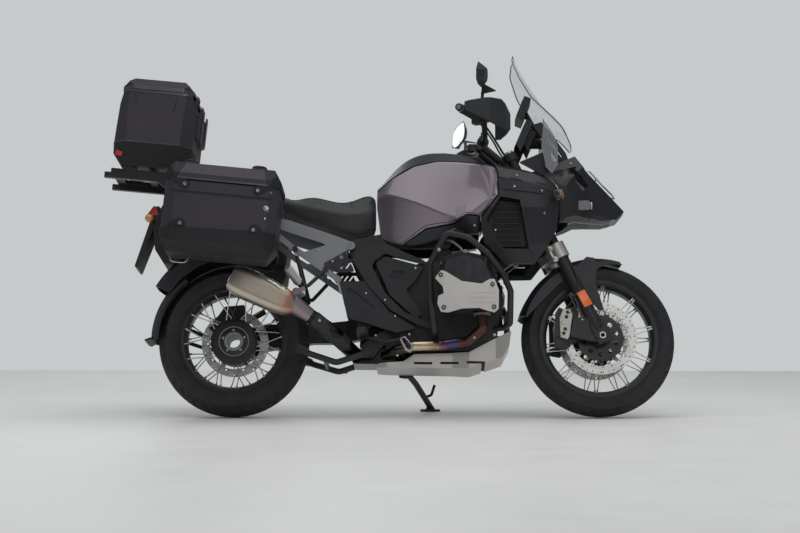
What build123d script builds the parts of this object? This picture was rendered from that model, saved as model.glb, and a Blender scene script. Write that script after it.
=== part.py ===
from build123d import *
import math
import os

# Adventure motorcycle with a flat twin engine, wire wheels and three hard cases, parked on its side stand.
#
# Every piece is modelled on the upright machine: X runs forward from the rear axle, Y to the left, Z up from
# the ground, in millimetres. The parts on the fork are then turned with the handlebar, and the whole machine is
# leaned over to its left onto the side stand and centred on its own footprint.

# ---------------------------------------------------------------- driving dimensions
WHEELBASE = 1534.0
RAKE = 26.2  # steering axis from the vertical, degrees
TRAIL = 118.8
LEAN = 11.0  # lean onto the side stand, degrees
STEER_REST = 6.0  # handlebar turned to the left as parked, degrees
STEER_LOCK = 36.0  # each way from straight ahead, degrees

REAR_RADIUS = 318.0  # 170/60 R17
FRONT_RADIUS = 325.0  # 120/70 R19
REAR_BEAD = 216.0
FRONT_BEAD = 241.5

# centre of the parked machine's footprint, measured from the rear contact point
FOOTPRINT_X = 652.5
FOOTPRINT_Y = 194.1
SINK = 1.7  # how far the rolling crown of a leaned tyre comes below the upright contact line

RAKE_SIN = math.sin(math.radians(RAKE))
RAKE_COS = math.cos(math.radians(RAKE))
STEER_DIRECTION = Vector(-RAKE_SIN, 0, RAKE_COS)
FORK_OFFSET = FRONT_RADIUS * RAKE_SIN - TRAIL * RAKE_COS
FORK_SPREAD = 104.0  # fork leg from the centre plane
FORK_SWEEP = 150.0  # radius about the steering axis that the fork's upper end needs

RIGHT = -1
LEFT = 1
SIDES = (RIGHT, LEFT)


# ---------------------------------------------------------------- placing and shaping helpers
def steer_point(z):
    """Point of the steering axis at height z."""
    return Vector(WHEELBASE + TRAIL - z * RAKE_SIN / RAKE_COS, 0, z)


def fork_point(along, side=0, ahead=0.0):
    """Point on a fork leg: along the leg up from the axle, on one side, ahead of the leg's line."""
    axle = Vector(WHEELBASE, 0, FRONT_RADIUS)
    forward = Vector(RAKE_COS, 0, RAKE_SIN)
    return axle + STEER_DIRECTION * along + forward * ahead + Vector(0, side * FORK_SPREAD, 0)


def turned(shape, angle=STEER_REST):
    """Turns a piece about the steering axis, to the left for a positive angle."""
    return shape.rotate(Axis(steer_point(0), STEER_DIRECTION), angle)


def parked(shape):
    """Leans a piece of the upright machine onto its side stand, in the part's own frame."""
    return Pos(-FOOTPRINT_X, -FOOTPRINT_Y, SINK) * Rot(-LEAN, 0, 0) * shape


def parked_point(point):
    """The same for a point."""
    lean = math.radians(LEAN)
    p = Vector(*point)
    across = p.Y * math.cos(lean) + p.Z * math.sin(lean)
    height = -p.Y * math.sin(lean) + p.Z * math.cos(lean)
    return Vector(p.X - FOOTPRINT_X, across - FOOTPRINT_Y, height + SINK)


def parked_direction(direction):
    return parked_point(direction) - parked_point((0, 0, 0))


def turned_point(point, angle=STEER_REST):
    """A point of the fork or handlebar, turned with it."""
    return Vector(*Vertex(*point).rotate(Axis(steer_point(0), STEER_DIRECTION), angle).to_tuple())


def outline(points, place, radius=0.0):
    """Face whose corners are 2-D points put in space by place(u, v), with rounded corners."""
    corners = [place(*p) for p in points]
    return make_face(FilletPolyline(*corners, radius=radius, close=True).edges())


def side_prism(points, y_from, y_to, radius=0.0):
    """Side outline in (x, z), as thick as from y_from to y_to."""
    face = outline(points, lambda x, z: (x, y_from, z), radius)
    return extrude(face, amount=y_to - y_from, dir=(0, 1, 0))


def plan_prism(points, z_from, z_to, radius=0.0):
    """Plan outline in (x, y), as thick as from z_from to z_to."""
    face = outline(points, lambda x, y: (x, y, z_from), radius)
    return extrude(face, amount=z_to - z_from, dir=(0, 0, 1))


def front_prism(points, x_from, x_to, radius=0.0):
    """Front outline in (y, z), as thick as from x_from to x_to."""
    face = outline(points, lambda y, z: (x_from, y, z), radius)
    return extrude(face, amount=x_to - x_from, dir=(1, 0, 0))


def mirrored(points):
    """Half an outline in (y, z) with y above 0, closed with its mirror image."""
    return [(y, z) for y, z in points] + [(-y, z) for y, z in reversed(points)]


def mirrored_plan(points):
    """Half an outline in (x, y) with y above 0, closed with its mirror image."""
    return [(x, y) for x, y in points] + [(x, -y) for x, y in reversed(points)]


def rod(start, end, radius, end_radius=None):
    """Round bar or cone between two points."""
    a = Vector(*start)
    b = Vector(*end)
    place = Plane(origin=a, z_dir=b - a)
    if end_radius is None:
        return place * Cylinder(radius, (b - a).length, align=(Align.CENTER, Align.CENTER, Align.MIN))
    return place * Cone(radius, end_radius, (b - a).length, align=(Align.CENTER, Align.CENTER, Align.MIN))


def tube(points, bend, radius):
    """Round tube along straight runs joined by arcs."""
    path = FilletPolyline(*points, radius=bend)
    section = Plane(origin=path @ 0, z_dir=path % 0) * Circle(radius)
    return sweep(section, path=path)


def box_between(low, high):
    size = [b - a for a, b in zip(low, high)]
    return Pos(*low) * Box(*size, align=(Align.MIN, Align.MIN, Align.MIN))


def both_sides(shape):
    """A piece of the left side and its mirror image on the right, as two solids."""
    return Compound([*shape.solids(), *mirror(shape, about=Plane.XZ).solids()])


def ring(profile):
    """Turns a closed profile in (y, radius) about the axle line through the origin."""
    face = outline(profile, lambda y, r: (0, y, r))
    return revolve(face, axis=Axis.Y, revolution_arc=360)


def disc_prism(sketch, y_from, thickness):
    """A flat plate lying across the axle, from a sketch in (x, z)."""
    return Pos(0, y_from + thickness, 0) * Rot(90, 0, 0) * extrude(sketch, amount=thickness)


# ---------------------------------------------------------------- wheels
SPOKES_A_SIDE = 20
SPOKE_RADIUS = 2.0
PIN_CLEARANCE = 0.3  # radial, between a hinge pin and its eye
FRONT_RIM_HALF = 46.0
REAR_RIM_HALF = 66.0
RIM_LIP = 13.0  # height of a rim flange over the bead
HUB_CLEARANCE = 0.5
FRONT_AXLE_RADIUS = 12.5


def tyre(radius, bead, half_width, bead_half, crown_drop, shoulder):
    """Tyre with a round crown. crown_drop is how far the tread's edge is below its middle."""
    belly = bead + 0.42 * (radius - bead)
    half = [(shoulder * share, radius - crown_drop * share**2) for share in (0.16, 0.4, 0.7, 1.0)]
    half += [
        (half_width, belly + 16),
        (half_width, belly - 14),
        (bead_half, bead + RIM_LIP),
        (bead_half, bead),
    ]
    return ring(half + [(-y, r) for y, r in reversed(half)])


def rim_band(bead, half, depth):
    """The rim: two flanges beside the tyre's beads and a well between them."""
    lip = 5.0
    top = bead + RIM_LIP
    return ring([
        (-half, top), (-half + lip, top), (-half + lip, bead), (half - lip, bead), (half - lip, top), (half, top),
        (half, bead - 9), (0.45 * half, bead - depth), (-0.45 * half, bead - depth), (-half, bead - 9),
    ])


def spokes(hub_radius, rim_radius, twist, ends):
    """Crossed spokes, every second one leaning forward. ends: y at the hub, y and inset at the rim, phase."""
    made = []
    for hub_y, rim_y, inset, phase in ends:
        for n in range(SPOKES_A_SIDE):
            start = math.radians(360 * (n + phase) / SPOKES_A_SIDE)
            end = start + math.radians(twist if n % 2 else -twist)
            reach = rim_radius - inset
            a = Vector(hub_radius * math.cos(start), hub_y, hub_radius * math.sin(start))
            b = Vector(reach * math.cos(end), rim_y, reach * math.sin(end))
            made.append(rod(a, b, SPOKE_RADIUS))
    return made


def front_wheel():
    hub = ring([
        (-58, FRONT_AXLE_RADIUS + HUB_CLEARANCE), (58, FRONT_AXLE_RADIUS + HUB_CLEARANCE), (58, 40),
        (50, 44), (44, 58), (30, 58), (22, 34), (-22, 34), (-30, 58), (-44, 58), (-50, 44), (-58, 40),
    ])
    band = rim_band(FRONT_BEAD, FRONT_RIM_HALF, 20)
    rim = hub + [band, *spokes(55, FRONT_BEAD, 26, ((-34, -38, 10, 0.25), (34, 38, 10, -0.25)))]
    rubber = tyre(FRONT_RADIUS, FRONT_BEAD, 61, FRONT_RIM_HALF - 5, 27, 50)
    return rim, rubber


def drilled_disc(outer, inner, carrier_inner, arms, hole_ring):
    """Brake disc: drilled ring, arms to the carrier, and the carrier's open middle."""
    sketch = Circle(outer) - Circle(inner)
    carrier = Circle(inner - 22) - Circle(carrier_inner)
    for n in range(arms):
        turn = 360 * n / arms
        carrier += Rot(0, 0, turn) * Pos((inner - 22 + inner) / 2, 0) * Rectangle(34, 17)
        carrier -= Rot(0, 0, turn + 180 / arms) * Pos((inner - 22 + carrier_inner) / 2, 0) * Circle(10)
    sketch += carrier
    count, hole = hole_ring
    middle = (outer + inner) / 2
    for n in range(count):
        turn = 360 * n / count
        sketch -= Rot(0, 0, turn) * Pos(middle + (9 if n % 2 else -9), 0) * Circle(hole)
    return sketch


FRONT_DISC_OUT = 62.0  # inner face of each front disc from the centre plane
FRONT_DISC_THICK = 5.0


def front_discs():
    sketch = drilled_disc(155, 120, 41, 10, (20, 4.0))
    plates = [disc_prism(sketch, FRONT_DISC_OUT, FRONT_DISC_THICK)]
    plates.append(disc_prism(sketch, -FRONT_DISC_OUT - FRONT_DISC_THICK, FRONT_DISC_THICK))
    collars = []
    for side in SIDES:
        y0 = min(side * 58, side * FRONT_DISC_OUT)
        sleeve = Circle(48) - Circle(FRONT_AXLE_RADIUS + 3)
        collars.append(disc_prism(sleeve, y0, FRONT_DISC_OUT - 58))
    return Compound([s for pair in zip(plates, reversed(collars)) for s in (pair[0] + pair[1]).solids()])


HOLLOW_RADIUS = 28.0  # the open bore through the rear hub
SPINDLE_RADIUS = 36.0
DRIVE_INNER_Y = 53.0  # right-hand face of the final drive housing
REAR_DISC_Y = 41.0


def rear_wheel():
    hub = ring([
        (-34, HOLLOW_RADIUS), (112, HOLLOW_RADIUS), (112, SPINDLE_RADIUS), (20, SPINDLE_RADIUS),
        (20, 84), (8, 98), (-18, 98), (-24, 86), (-28, 60), (-34, 44),
    ])
    band = rim_band(REAR_BEAD, REAR_RIM_HALF, 20)
    rim = hub + [band, *spokes(93, REAR_BEAD, 18, ((-12, -60, 8, 0.25), (2, 26, 17, -0.25)))]
    rubber = tyre(REAR_RADIUS, REAR_BEAD, 87, REAR_RIM_HALF - 5, 34, 74)
    return rim, rubber


def rear_disc():
    sketch = drilled_disc(142, 108, 62, 6, (20, 4.0))
    plate = disc_prism(sketch, REAR_DISC_Y, 5)
    collar = disc_prism(Circle(84) - Circle(62), 20, REAR_DISC_Y - 20)
    return plate + collar


# ---------------------------------------------------------------- fork, front axle and brakes
BRIDGE_ALONG = 400.0  # lower bridge, from the axle up the leg
BALL_ALONG = 436.0  # ball joint between bridge and front arm
YOKE_ALONG = 852.0
SLIDER_RADIUS = 27.0
TUBE_RADIUS = 20.0


def fork_plane(along):
    """Plane square to the steering axis, its origin between the legs."""
    return Plane(origin=fork_point(along), x_dir=(RAKE_COS, 0, RAKE_SIN), z_dir=STEER_DIRECTION)


def steer_axis_at(along):
    """Point of the steering axis level with a point on the fork legs."""
    return fork_point(along, ahead=-FORK_OFFSET)


def fork_sliders():
    made = []
    for side in SIDES:
        leg = rod(fork_point(36, side), fork_point(BRIDGE_ALONG - 30, side), SLIDER_RADIUS)
        y = side * FORK_SPREAD
        foot = rod(fork_point(-30, side), fork_point(60, side), 33)
        foot &= box_between((1400, y - 18, 240), (1680, y + 18, 460))
        block = side_prism(
            [(1500, 300), (1556, 296), (1572, 330), (1548, 366), (1500, 392), (1416, 404), (1400, 318)],
            y - 11, y + 11, 8,
        )
        bore = Pos(WHEELBASE, y, FRONT_RADIUS) * Rot(90, 0, 0) * Cylinder(FRONT_AXLE_RADIUS, 90)
        made.append(leg + foot + block - bore)
    # the part of each foot that would reach the brake disc is milled flat
    flat = FRONT_DISC_OUT + FRONT_DISC_THICK + 6
    milled = box_between((1380, -flat, 280), (1620, flat, 700))
    return Compound([s for leg in made for s in (leg - milled).solids()])


def fork_bridge():
    """Silver lower bridge: a collar round each leg and the arch that carries the ball joint."""
    plane = fork_plane(BRIDGE_ALONG)
    web = make_hull(
        (
            Pos(0, -FORK_SPREAD) * Circle(34)
            + Pos(0, FORK_SPREAD) * Circle(34)
            + Pos(-FORK_OFFSET, 0) * Circle(34)
        ).edges()
    )
    web -= Pos(22, 0) * Rot(0, 0, 90) * SlotOverall(2 * FORK_SPREAD - 62, 52)
    shape = plane * extrude(web, amount=13, both=True)
    for side in SIDES:
        shape += rod(fork_point(BRIDGE_ALONG - 30, side), fork_point(BRIDGE_ALONG + 34, side), 36)
    shape += rod(steer_axis_at(BRIDGE_ALONG), steer_axis_at(BALL_ALONG), 9)
    shape += Pos(steer_axis_at(BALL_ALONG)) * Sphere(13)
    return shape


def fork_tubes():
    plane = fork_plane(YOKE_ALONG)
    shape = plane * extrude(Pos(-20, 0) * RectangleRounded(52, 2 * FORK_SPREAD, 20), amount=10, both=True)
    for side in SIDES:
        shape += rod(fork_point(BRIDGE_ALONG + 34, side), fork_point(YOKE_ALONG + 24, side), TUBE_RADIUS)
        shape += rod(fork_point(YOKE_ALONG - 16, side), fork_point(YOKE_ALONG + 16, side), 30)
    stem_low = steer_point(fork_point(YOKE_ALONG).Z) - STEER_DIRECTION * 74
    return shape + rod(stem_low, stem_low + STEER_DIRECTION * 60, 14)


BAR_CENTRE = Vector(1046, 0, 1170)
BAR_RADIUS = 14.0
SOCKET_RADIUS = 3.4
SOCKET_DEPTH = 18.0
BOSS_HEIGHT = 20.0
CLAMP_RADIUS = 25.0


def riser_top(side):
    return Vector(BAR_CENTRE.X, side * 48, BAR_CENTRE.Z)


def bar_clamps():
    """Two handlebar posts on the top yoke, with a threaded socket in the cap of each."""
    posts = []
    foot = fork_plane(YOKE_ALONG).origin + STEER_DIRECTION * 6 - Vector(RAKE_COS, 0, RAKE_SIN) * 30
    for side in SIDES:
        base = foot + Vector(0, side * 48, 0)
        post = rod(base, riser_top(side) - Vector(0, 0, 20), 17)
        cap = rod(riser_top(side) - Vector(0, 15, 0), riser_top(side) + Vector(0, 15, 0), CLAMP_RADIUS)
        post += cap
        post -= rod(riser_top(side) - Vector(0, 30, 0), riser_top(side) + Vector(0, 30, 0), BAR_RADIUS)
        mouth = riser_top(side) + Vector(0, 0, CLAMP_RADIUS + BOSS_HEIGHT)
        post += rod(mouth - Vector(0, 0, BOSS_HEIGHT + 8), mouth, 8)
        post -= rod(mouth - Vector(0, 0, SOCKET_DEPTH), mouth + Vector(0, 0, 1), SOCKET_RADIUS)
        posts.append(post)
    return Compound([s for post in posts for s in post.solids()])


def front_axle():
    half = FORK_SPREAD + 22
    shape = Pos(WHEELBASE, 0, FRONT_RADIUS) * Rot(90, 0, 0) * Cylinder(FRONT_AXLE_RADIUS, 2 * half)
    bore = Pos(WHEELBASE, 0, FRONT_RADIUS) * Rot(90, 0, 0) * Cylinder(8, 2 * half + 2)
    cap = Pos(WHEELBASE, half + 2, FRONT_RADIUS) * Rot(90, 0, 0) * Cylinder(17, 10)
    return shape + cap - bore


def front_calipers():
    """Four-piston calipers straddling the rear edge of each disc, each bolted inboard of its fork leg."""
    body = side_prism(
        [(1376, 306), (1412, 296), (1436, 304), (1440, 430), (1420, 452), (1388, 444), (1370, 400)],
        FRONT_DISC_OUT - 14, FRONT_DISC_OUT + FRONT_DISC_THICK + 26, 6,
    )
    slot = Pos(WHEELBASE, 0, FRONT_RADIUS) * Rot(90, 0, 0) * Cylinder(162, 300)
    slot &= box_between((1300, FRONT_DISC_OUT - 5.5, 200), (1700, FRONT_DISC_OUT + FRONT_DISC_THICK + 5.5, 700))
    for x, z in ((1404, 340), (1408, 408)):
        body += Pos(x, FRONT_DISC_OUT + 28, z) * Rot(90, 0, 0) * Cylinder(17, 14)
    legs_gap = box_between((1380, FORK_SPREAD - 11, 280), (1620, FORK_SPREAD + 40, 480))
    return both_sides(body - slot - legs_gap)


FENDER_INNER = FRONT_RADIUS + 18.0
FENDER_SHELL = 4.0


def arch(centre, radius, shell, half, drop, start, end):
    """Mudguard shell over a wheel: a channel section turned from start to end degrees, 0 being forward."""
    outer = radius + shell
    section = outline(
        [
            (-half, radius - drop), (-half + shell, radius - drop), (-half + shell, radius - 24),
            (-0.55 * half, radius), (0.55 * half, radius), (half - shell, radius - 24),
            (half - shell, radius - drop), (half, radius - drop), (half, outer - 22),
            (0.6 * half, outer), (-0.6 * half, outer), (-half, outer - 22),
        ],
        lambda y, r: (r, y, 0),
    )
    shape = revolve(section, axis=Axis.Y, revolution_arc=-(end - start))
    return Pos(*centre) * Rot(0, -start, 0) * shape


def front_mudguard():
    centre = (WHEELBASE, 0, FRONT_RADIUS)
    shape = arch(centre, FENDER_INNER, FENDER_SHELL, 77, 66, 74, 165)
    keep = side_prism(
        [
            (1180, 372), (1216, 398), (1297, 486), (1362, 552), (1420, 590), (1480, 560), (1512, 560),
            (1522, 618), (1560, 640), (1630, 640), (1660, 720), (1400, 760), (1180, 600),
        ],
        -90, 90,
    )
    shape &= keep
    nose = side_prism([(1500, 664), (1500, 674), (1580, 668), (1637, 650), (1630, 640), (1570, 656)], -46, 46)
    shape += nose
    # cheeks beside the legs, down towards the axle
    cheek = side_prism(
        [(1405, 600), (1480, 672), (1512, 668), (1523, 620), (1516, 560), (1550, 444), (1538, 440), (1478, 500)],
        73, 77,
    )
    shape += [cheek, mirror(cheek, about=Plane.XZ)]
    for side in SIDES:
        leg = rod(fork_point(-60, side), fork_point(BRIDGE_ALONG + 60, side), SLIDER_RADIUS + 1)
        foot = rod(fork_point(-60, side), fork_point(64, side), 34)
        collar = rod(fork_point(BRIDGE_ALONG - 32, side), fork_point(BRIDGE_ALONG + 60, side), 38)
        brace = fork_point(262, 0)
        shape += rod(brace + Vector(0, side * 70, 0), brace + Vector(0, side * 84, 0), 14)
        shape -= [leg, foot, collar]
    return shape


# ---------------------------------------------------------------- handlebar, guards and mirrors
GRIP_INNER = Vector(1004, 290, 1202)
GRIP_OUTER = Vector(915, 456, 1190)
GRIP_RADIUS = 17.0


def bar_line(share):
    return GRIP_INNER + (GRIP_OUTER - GRIP_INNER) * share


def handlebar():
    left = [
        BAR_CENTRE,
        BAR_CENTRE + Vector(0, 130, 0),
        Vector(1032, 236, 1198),
        GRIP_INNER,
        bar_line(0.6),
    ]
    half = tube(left, 22, BAR_RADIUS - 2)
    half += tube([BAR_CENTRE, BAR_CENTRE + Vector(0, 60, 0), BAR_CENTRE + Vector(-0.5, 110, 2)], 30, BAR_RADIUS)
    half += rod(bar_line(0.08), bar_line(0.97), GRIP_RADIUS)
    half += rod(bar_line(0.97), bar_line(1.09), 16)
    half += box_on_bar(0.0, 44, 52, 46)
    lever = tube(
        [bar_line(0.0) + Vector(36, 6, -6), bar_line(0.2) + Vector(58, 6, -10), bar_line(0.9) + Vector(52, 0, -16)],
        20, 6,
    )
    half += [lever, rod(bar_line(0.0), bar_line(0.0) + Vector(40, 6, -6), 13)]
    reservoir = rod(bar_line(-0.08) + Vector(26, 0, 22), bar_line(-0.08) + Vector(26, 0, 50), 24)
    half += [reservoir, rod(bar_line(-0.08), bar_line(-0.08) + Vector(26, 0, 30), 12)]
    return half + mirror(half, about=Plane.XZ)


def box_on_bar(share, length, height, depth):
    """Switch housing wrapped round the bar at the inner end of the grip."""
    place = Plane(origin=bar_line(share), z_dir=GRIP_OUTER - GRIP_INNER)
    return place * Box(height, depth, length)


def hand_guards():
    """Open plastic shells in front of each grip, carried by the bar end and the lever clamp."""
    outer = [
        (1080, 250), (1120, 292), (1128, 350), (1098, 420), (1030, 470), (940, 492), (922, 486),
    ]
    inner = [(930, 479), (1026, 456), (1088, 410), (1116, 348), (1108, 298), (1074, 260)]
    shell = plan_prism(outer + inner, 1096, 1252)
    keep = side_prism(
        [(900, 1206), (1010, 1236), (1080, 1244), (1140, 1196), (1140, 1150), (1096, 1118), (1020, 1140),
         (940, 1172), (900, 1180)],
        200, 520, 10,
    )
    shell &= keep
    strut = rod((1082, 262, 1200), bar_line(-0.02) + Vector(27, -3, -2), 8)
    end = rod(bar_line(1.09), bar_line(1.2), 15)
    foot = rod(bar_line(1.13), (934, 484, 1194), 7)
    return both_sides(shell + [strut, end, foot])


MIRROR_FOOT = Vector(1008, 300, 1236)


def mirrors():
    """Wedge-shaped mirror heads, each on a stalk from the lever clamp."""
    head_centre = Vector(992, 432, 1352)
    stalk = tube(
        [bar_line(0.0) + Vector(6, 4, 20), MIRROR_FOOT, MIRROR_FOOT + Vector(6, 40, 56), head_centre - Vector(4, 14, 40)],
        18, 6.5,
    )
    face = Plane(origin=head_centre, x_dir=Vector(0.34, 0.94, 0), z_dir=Vector(-0.94, 0.34, 0.05))
    back = [(-70, -30), (-52, -50), (40, -40), (74, 0), (66, 46), (20, 62), (-60, 44), (-78, 8)]
    glass_side = make_face(FilletPolyline(*back, radius=14, close=True).edges())
    crown = make_face(FilletPolyline(*[(0.5 * u, 0.55 * v) for u, v in back], radius=7, close=True).edges())
    head = loft([face * glass_side, face.offset(-26) * crown])
    head += rod(MIRROR_FOOT - Vector(2, 6, 30), MIRROR_FOOT, 12)
    return both_sides(head + stalk)


# ---------------------------------------------------------------- engine
ENGINE_HALF = 132.0
CYLINDER_CENTRE = (978, 508)


def crankcase():
    """Crankcase with its front cover, and the gearbox behind it, as one casting."""
    case = side_prism(
        [(700, 262), (1060, 262), (1108, 330), (1120, 470), (1076, 586), (1010, 640), (800, 640), (700, 600)],
        -ENGINE_HALF, ENGINE_HALF, 26,
    )
    gearbox = side_prism([(634, 300), (720, 280), (720, 580), (560, 560), (560, 480), (634, 450)], -100, 100, 14)
    front_cover = Pos(1118, 0, 470) * Rot(0, 90, 0) * Cylinder(92, 26)
    sump = side_prism([(760, 232), (1040, 232), (1064, 300), (740, 300)], -96, 96, 12)
    starter = Pos(880, 0, 660) * Rot(90, 0, 0) * Cylinder(48, 180)
    ribs = [box_between((740 + 70 * n, -ENGINE_HALF - 7, 300), (748 + 70 * n, -ENGINE_HALF, 560)) for n in range(2)]
    case += [gearbox, front_cover, sump, starter, *ribs, *[mirror(r, about=Plane.XZ) for r in ribs]]
    return case


def head_outline(scale=1.0, lift=0.0):
    cx, cz = CYLINDER_CENTRE
    shape = [(-118, -96), (90, -104), (122, -60), (126, 24), (84, 118), (-20, 142), (-104, 112), (-128, 20)]
    return [(cx + scale * u, cz + lift + scale * v) for u, v in shape]


def cylinders():
    """Barrel with cooling fins, head and ribbed head cover on each side."""
    cx, cz = CYLINDER_CENTRE
    barrel = side_prism(
        [(cx - 92, cz - 82), (cx + 92, cz - 82), (cx + 92, cz + 82), (cx - 92, cz + 82)], ENGINE_HALF, 226, 22
    )
    fins = [side_prism(head_outline(0.9), y, y + 4, 10) for y in (150, 168, 186, 204)]
    head = side_prism(head_outline(), 226, 318, 24)
    face = side_prism(head_outline(), 318, 319, 24)
    cover_low = outline(head_outline(0.97), lambda x, z: (x, 319, z), 22)
    cover_top = outline(head_outline(0.80), lambda x, z: (x, 366, z), 18)
    cover = loft([cover_low, cover_top])
    ribs = [
        side_prism([(cx - 66 + 44 * n, cz + 30), (cx - 58 + 44 * n, cz + 30), (cx - 50 + 44 * n, cz + 102),
                    (cx - 58 + 44 * n, cz + 102)], 340, 370)
        for n in range(4)
    ]
    return both_sides(barrel + [*fins, head, face, cover, *ribs])


GUARD_OUTLINE = [
    (848, 524), (874, 557), (897, 548), (956, 511), (1038, 500), (1070, 519), (1090, 520), (1108, 474),
    (1107, 396), (1090, 381), (1062, 388), (1028, 400), (956, 397), (902, 381), (872, 384), (858, 418),
    (862, 450), (884, 460), (880, 488),
]
GUARD_SCREWS = [(872, 536), (1082, 497), (1088, 404), (884, 402)]


def head_guards():
    """Aluminium plate standing off each head cover on four screws."""
    plate = side_prism(GUARD_OUTLINE, 376, 382, 6)
    for n in range(3):
        z = 424 + 20 * n
        plate += side_prism([(990, z), (1096, z - 2), (1096, z + 5), (990, z + 4)], 382, 384)
    for x, z in GUARD_SCREWS:
        plate += Pos(x, 351, z) * Rot(90, 0, 0) * Cylinder(9, 60)
        plate += Pos(x, 385, z) * Rot(90, 0, 0) * Cylinder(8, 6)
    return both_sides(plate)


BAR_TUBE = 13.0


def crash_bars():
    """Engine protection bars: a hoop round each cylinder, tied to the front of the frame and to the sump."""
    hoop = tube(
        [
            (850, 122, 318), (846, 250, 332), (832, 304, 440), (826, 336, 590), (895, 344, 720), (985, 350, 698),
            (1062, 348, 634), (1126, 336, 552), (1158, 312, 482), (1158, 206, 366), (1136, 160, 356),
            (1092, 122, 356),
        ],
        26, BAR_TUBE,
    )
    upper = tube([(905, 344, 712), (930, 300, 740), (1000, 210, 716), (1090, 112, 650)], 34, 11)
    middle = tube([(1138, 322, 515), (1140, 250, 560), (1116, 116, 590)], 30, 11)
    return both_sides(hoop + [upper, middle])


def skid_plate():
    """Aluminium tray under the engine, turned up at the front and along both sides."""
    side = [
        (604, 196), (990, 190), (1128, 236), (1158, 290), (1166, 352), (1108, 318), (990, 256), (762, 250),
        (716, 220), (612, 214),
    ]
    floor_plan = plan_prism(
        mirrored_plan([(594, 94), (650, 116), (920, 122), (990, 141), (1100, 141), (1180, 100)]), 150, 400
    )
    outer = side_prism(side, -160, 160) & floor_plan
    inner_plan = plan_prism(
        mirrored_plan([(580, 88), (651, 112), (920, 118), (990, 137), (1099, 137), (1176, 97)]), 150, 500
    )
    inner = side_prism(
        [(560, 200.5), (989, 194.5), (1124, 240), (1153, 292), (1158, 420), (560, 420)], -160, 160
    ) & inner_plan
    tray = outer - inner
    for n in range(3):
        x = 760 + 110 * n
        tray -= side_prism([(x, 208), (x + 76, 207), (x + 76, 217), (x, 218)], -170, 170)
    return tray


SILENCER_INLET = (330, -208, 396)


def exhaust_pipes():
    """Header from each head, joined in the box under the gearbox, and the pipe up to the silencer."""
    shape = side_prism([(500, 214), (676, 212), (690, 274), (512, 276)], -90, 90, 14)
    for side in SIDES:
        header = tube(
            [
                (1038, side * 262, 414), (1046, side * 258, 340), (986, side * 205, 292), (880, side * 168, 280),
                (762, side * 160, 278), (684, side * 148, 262), (636, side * 84, 248),
            ],
            22, 20,
        )
        flange = rod((1037.5, side * 262, 388), (1037.5, side * 262, 412), 28)
        shape += [header, flange]
    tail = tube([(524, -56, 248), (478, -122, 282), (430, -180, 328), SILENCER_INLET], 34, 31)
    return shape + tail


def muffler():
    """Silencer: a flattened can with a slanted tail and a mounting strap."""
    rows = (  # x, z of the middle, half height, half width
        (268, 428, 30, 30),
        (236, 445, 50, 46),
        (150, 486, 60, 54),
        (50, 533, 62, 56),
        (6, 553, 50, 48),
    )
    axis_dir = Vector(-0.905, 0, 0.425)
    sections = []
    for x, z, half_height, half_width in rows:
        plane = Plane(origin=(x, -232, z), x_dir=(0, 1, 0), z_dir=axis_dir)
        sections.append(plane * RectangleRounded(2 * half_width, 2 * half_height, 0.6 * half_width))
    can = loft(sections)
    mouth = Plane(origin=(4, -232, 554), z_dir=axis_dir)
    can -= mouth.offset(-44) * extrude(Circle(26), amount=60)
    strap = side_prism([(190, 480), (230, 470), (312, 508), (306, 524)], -198, -190, 3)
    inlet = rod(SILENCER_INLET, (252, -229.8, 449), 31, 40)
    return can + [strap, inlet]


# ---------------------------------------------------------------- frame
SWING_PIVOT = (586, 0, 400)


def main_frame():
    """Steering head, two side plates down to the swing arm's pivot, and the cross tubes between them."""
    plate = side_prism(
        [(470, 700), (560, 712), (700, 700), (900, 700), (1062, 930), (1094, 1010), (1070, 1038), (1010, 1000),
         (870, 790), (650, 768), (500, 738)],
        96, 108, 12,
    )
    lower = side_prism(
        [(470, 730), (640, 730), (620, 560), (612, 380), (560, 360), (520, 380), (540, 560)], 104, 116, 14
    )
    hole = side_prism([(560, 670), (606, 670), (592, 560), (566, 560)], 90, 130, 8)
    arms = plate + lower - hole
    shape = arms + mirror(arms, about=Plane.XZ)
    shape += Pos(600, 0, 722) * Rot(90, 0, 0) * Cylinder(16, 212)
    shape += Pos(1040, 0, 985) * Rot(90, 0, 0) * Cylinder(22, 212)
    shape += Pos(*SWING_PIVOT) * Rot(90, 0, 0) * Cylinder(16, 230)
    head_mid = steer_point(1030)
    head = rod(head_mid - STEER_DIRECTION * 40, head_mid + STEER_DIRECTION * 26, 30)
    head += rod(head_mid - STEER_DIRECTION * 20, Vector(1040, 0, 985), 20)
    shape += head
    stem = rod(head_mid - STEER_DIRECTION * 60, head_mid + STEER_DIRECTION * 60, 14.5)
    return shape - stem


def rear_frame():
    """Two bolted rails each side with a diagonal between them, carrying seat, cases and rack."""
    zigzag = [
        (-170, 905), (237, 815), (426, 750), (500, 722), (508, 706), (492, 694), (384, 634), (382, 620),
        (462, 566), (446, 548), (366, 604), (262, 676), (150, 762), (-120, 846), (-170, 866),
    ]
    window = [(160, 788), (400, 712), (300, 680), (262, 704)]
    small = [(-90, 872), (90, 832), (100, 800), (-70, 850)]
    half = side_prism(zigzag, 128, 142, 7) - side_prism(window, 100, 160, 6) - side_prism(small, 100, 160, 6)
    half += Pos(496, 135, 706) * Rot(90, 0, 0) * Cylinder(17, 22)
    shape = half + mirror(half, about=Plane.XZ)
    for x, z in ((-130, 874), (60, 812), (470, 716), (446, 560)):
        shape += Pos(x, 0, z) * Rot(90, 0, 0) * Cylinder(9, 270)
    return shape


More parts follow.
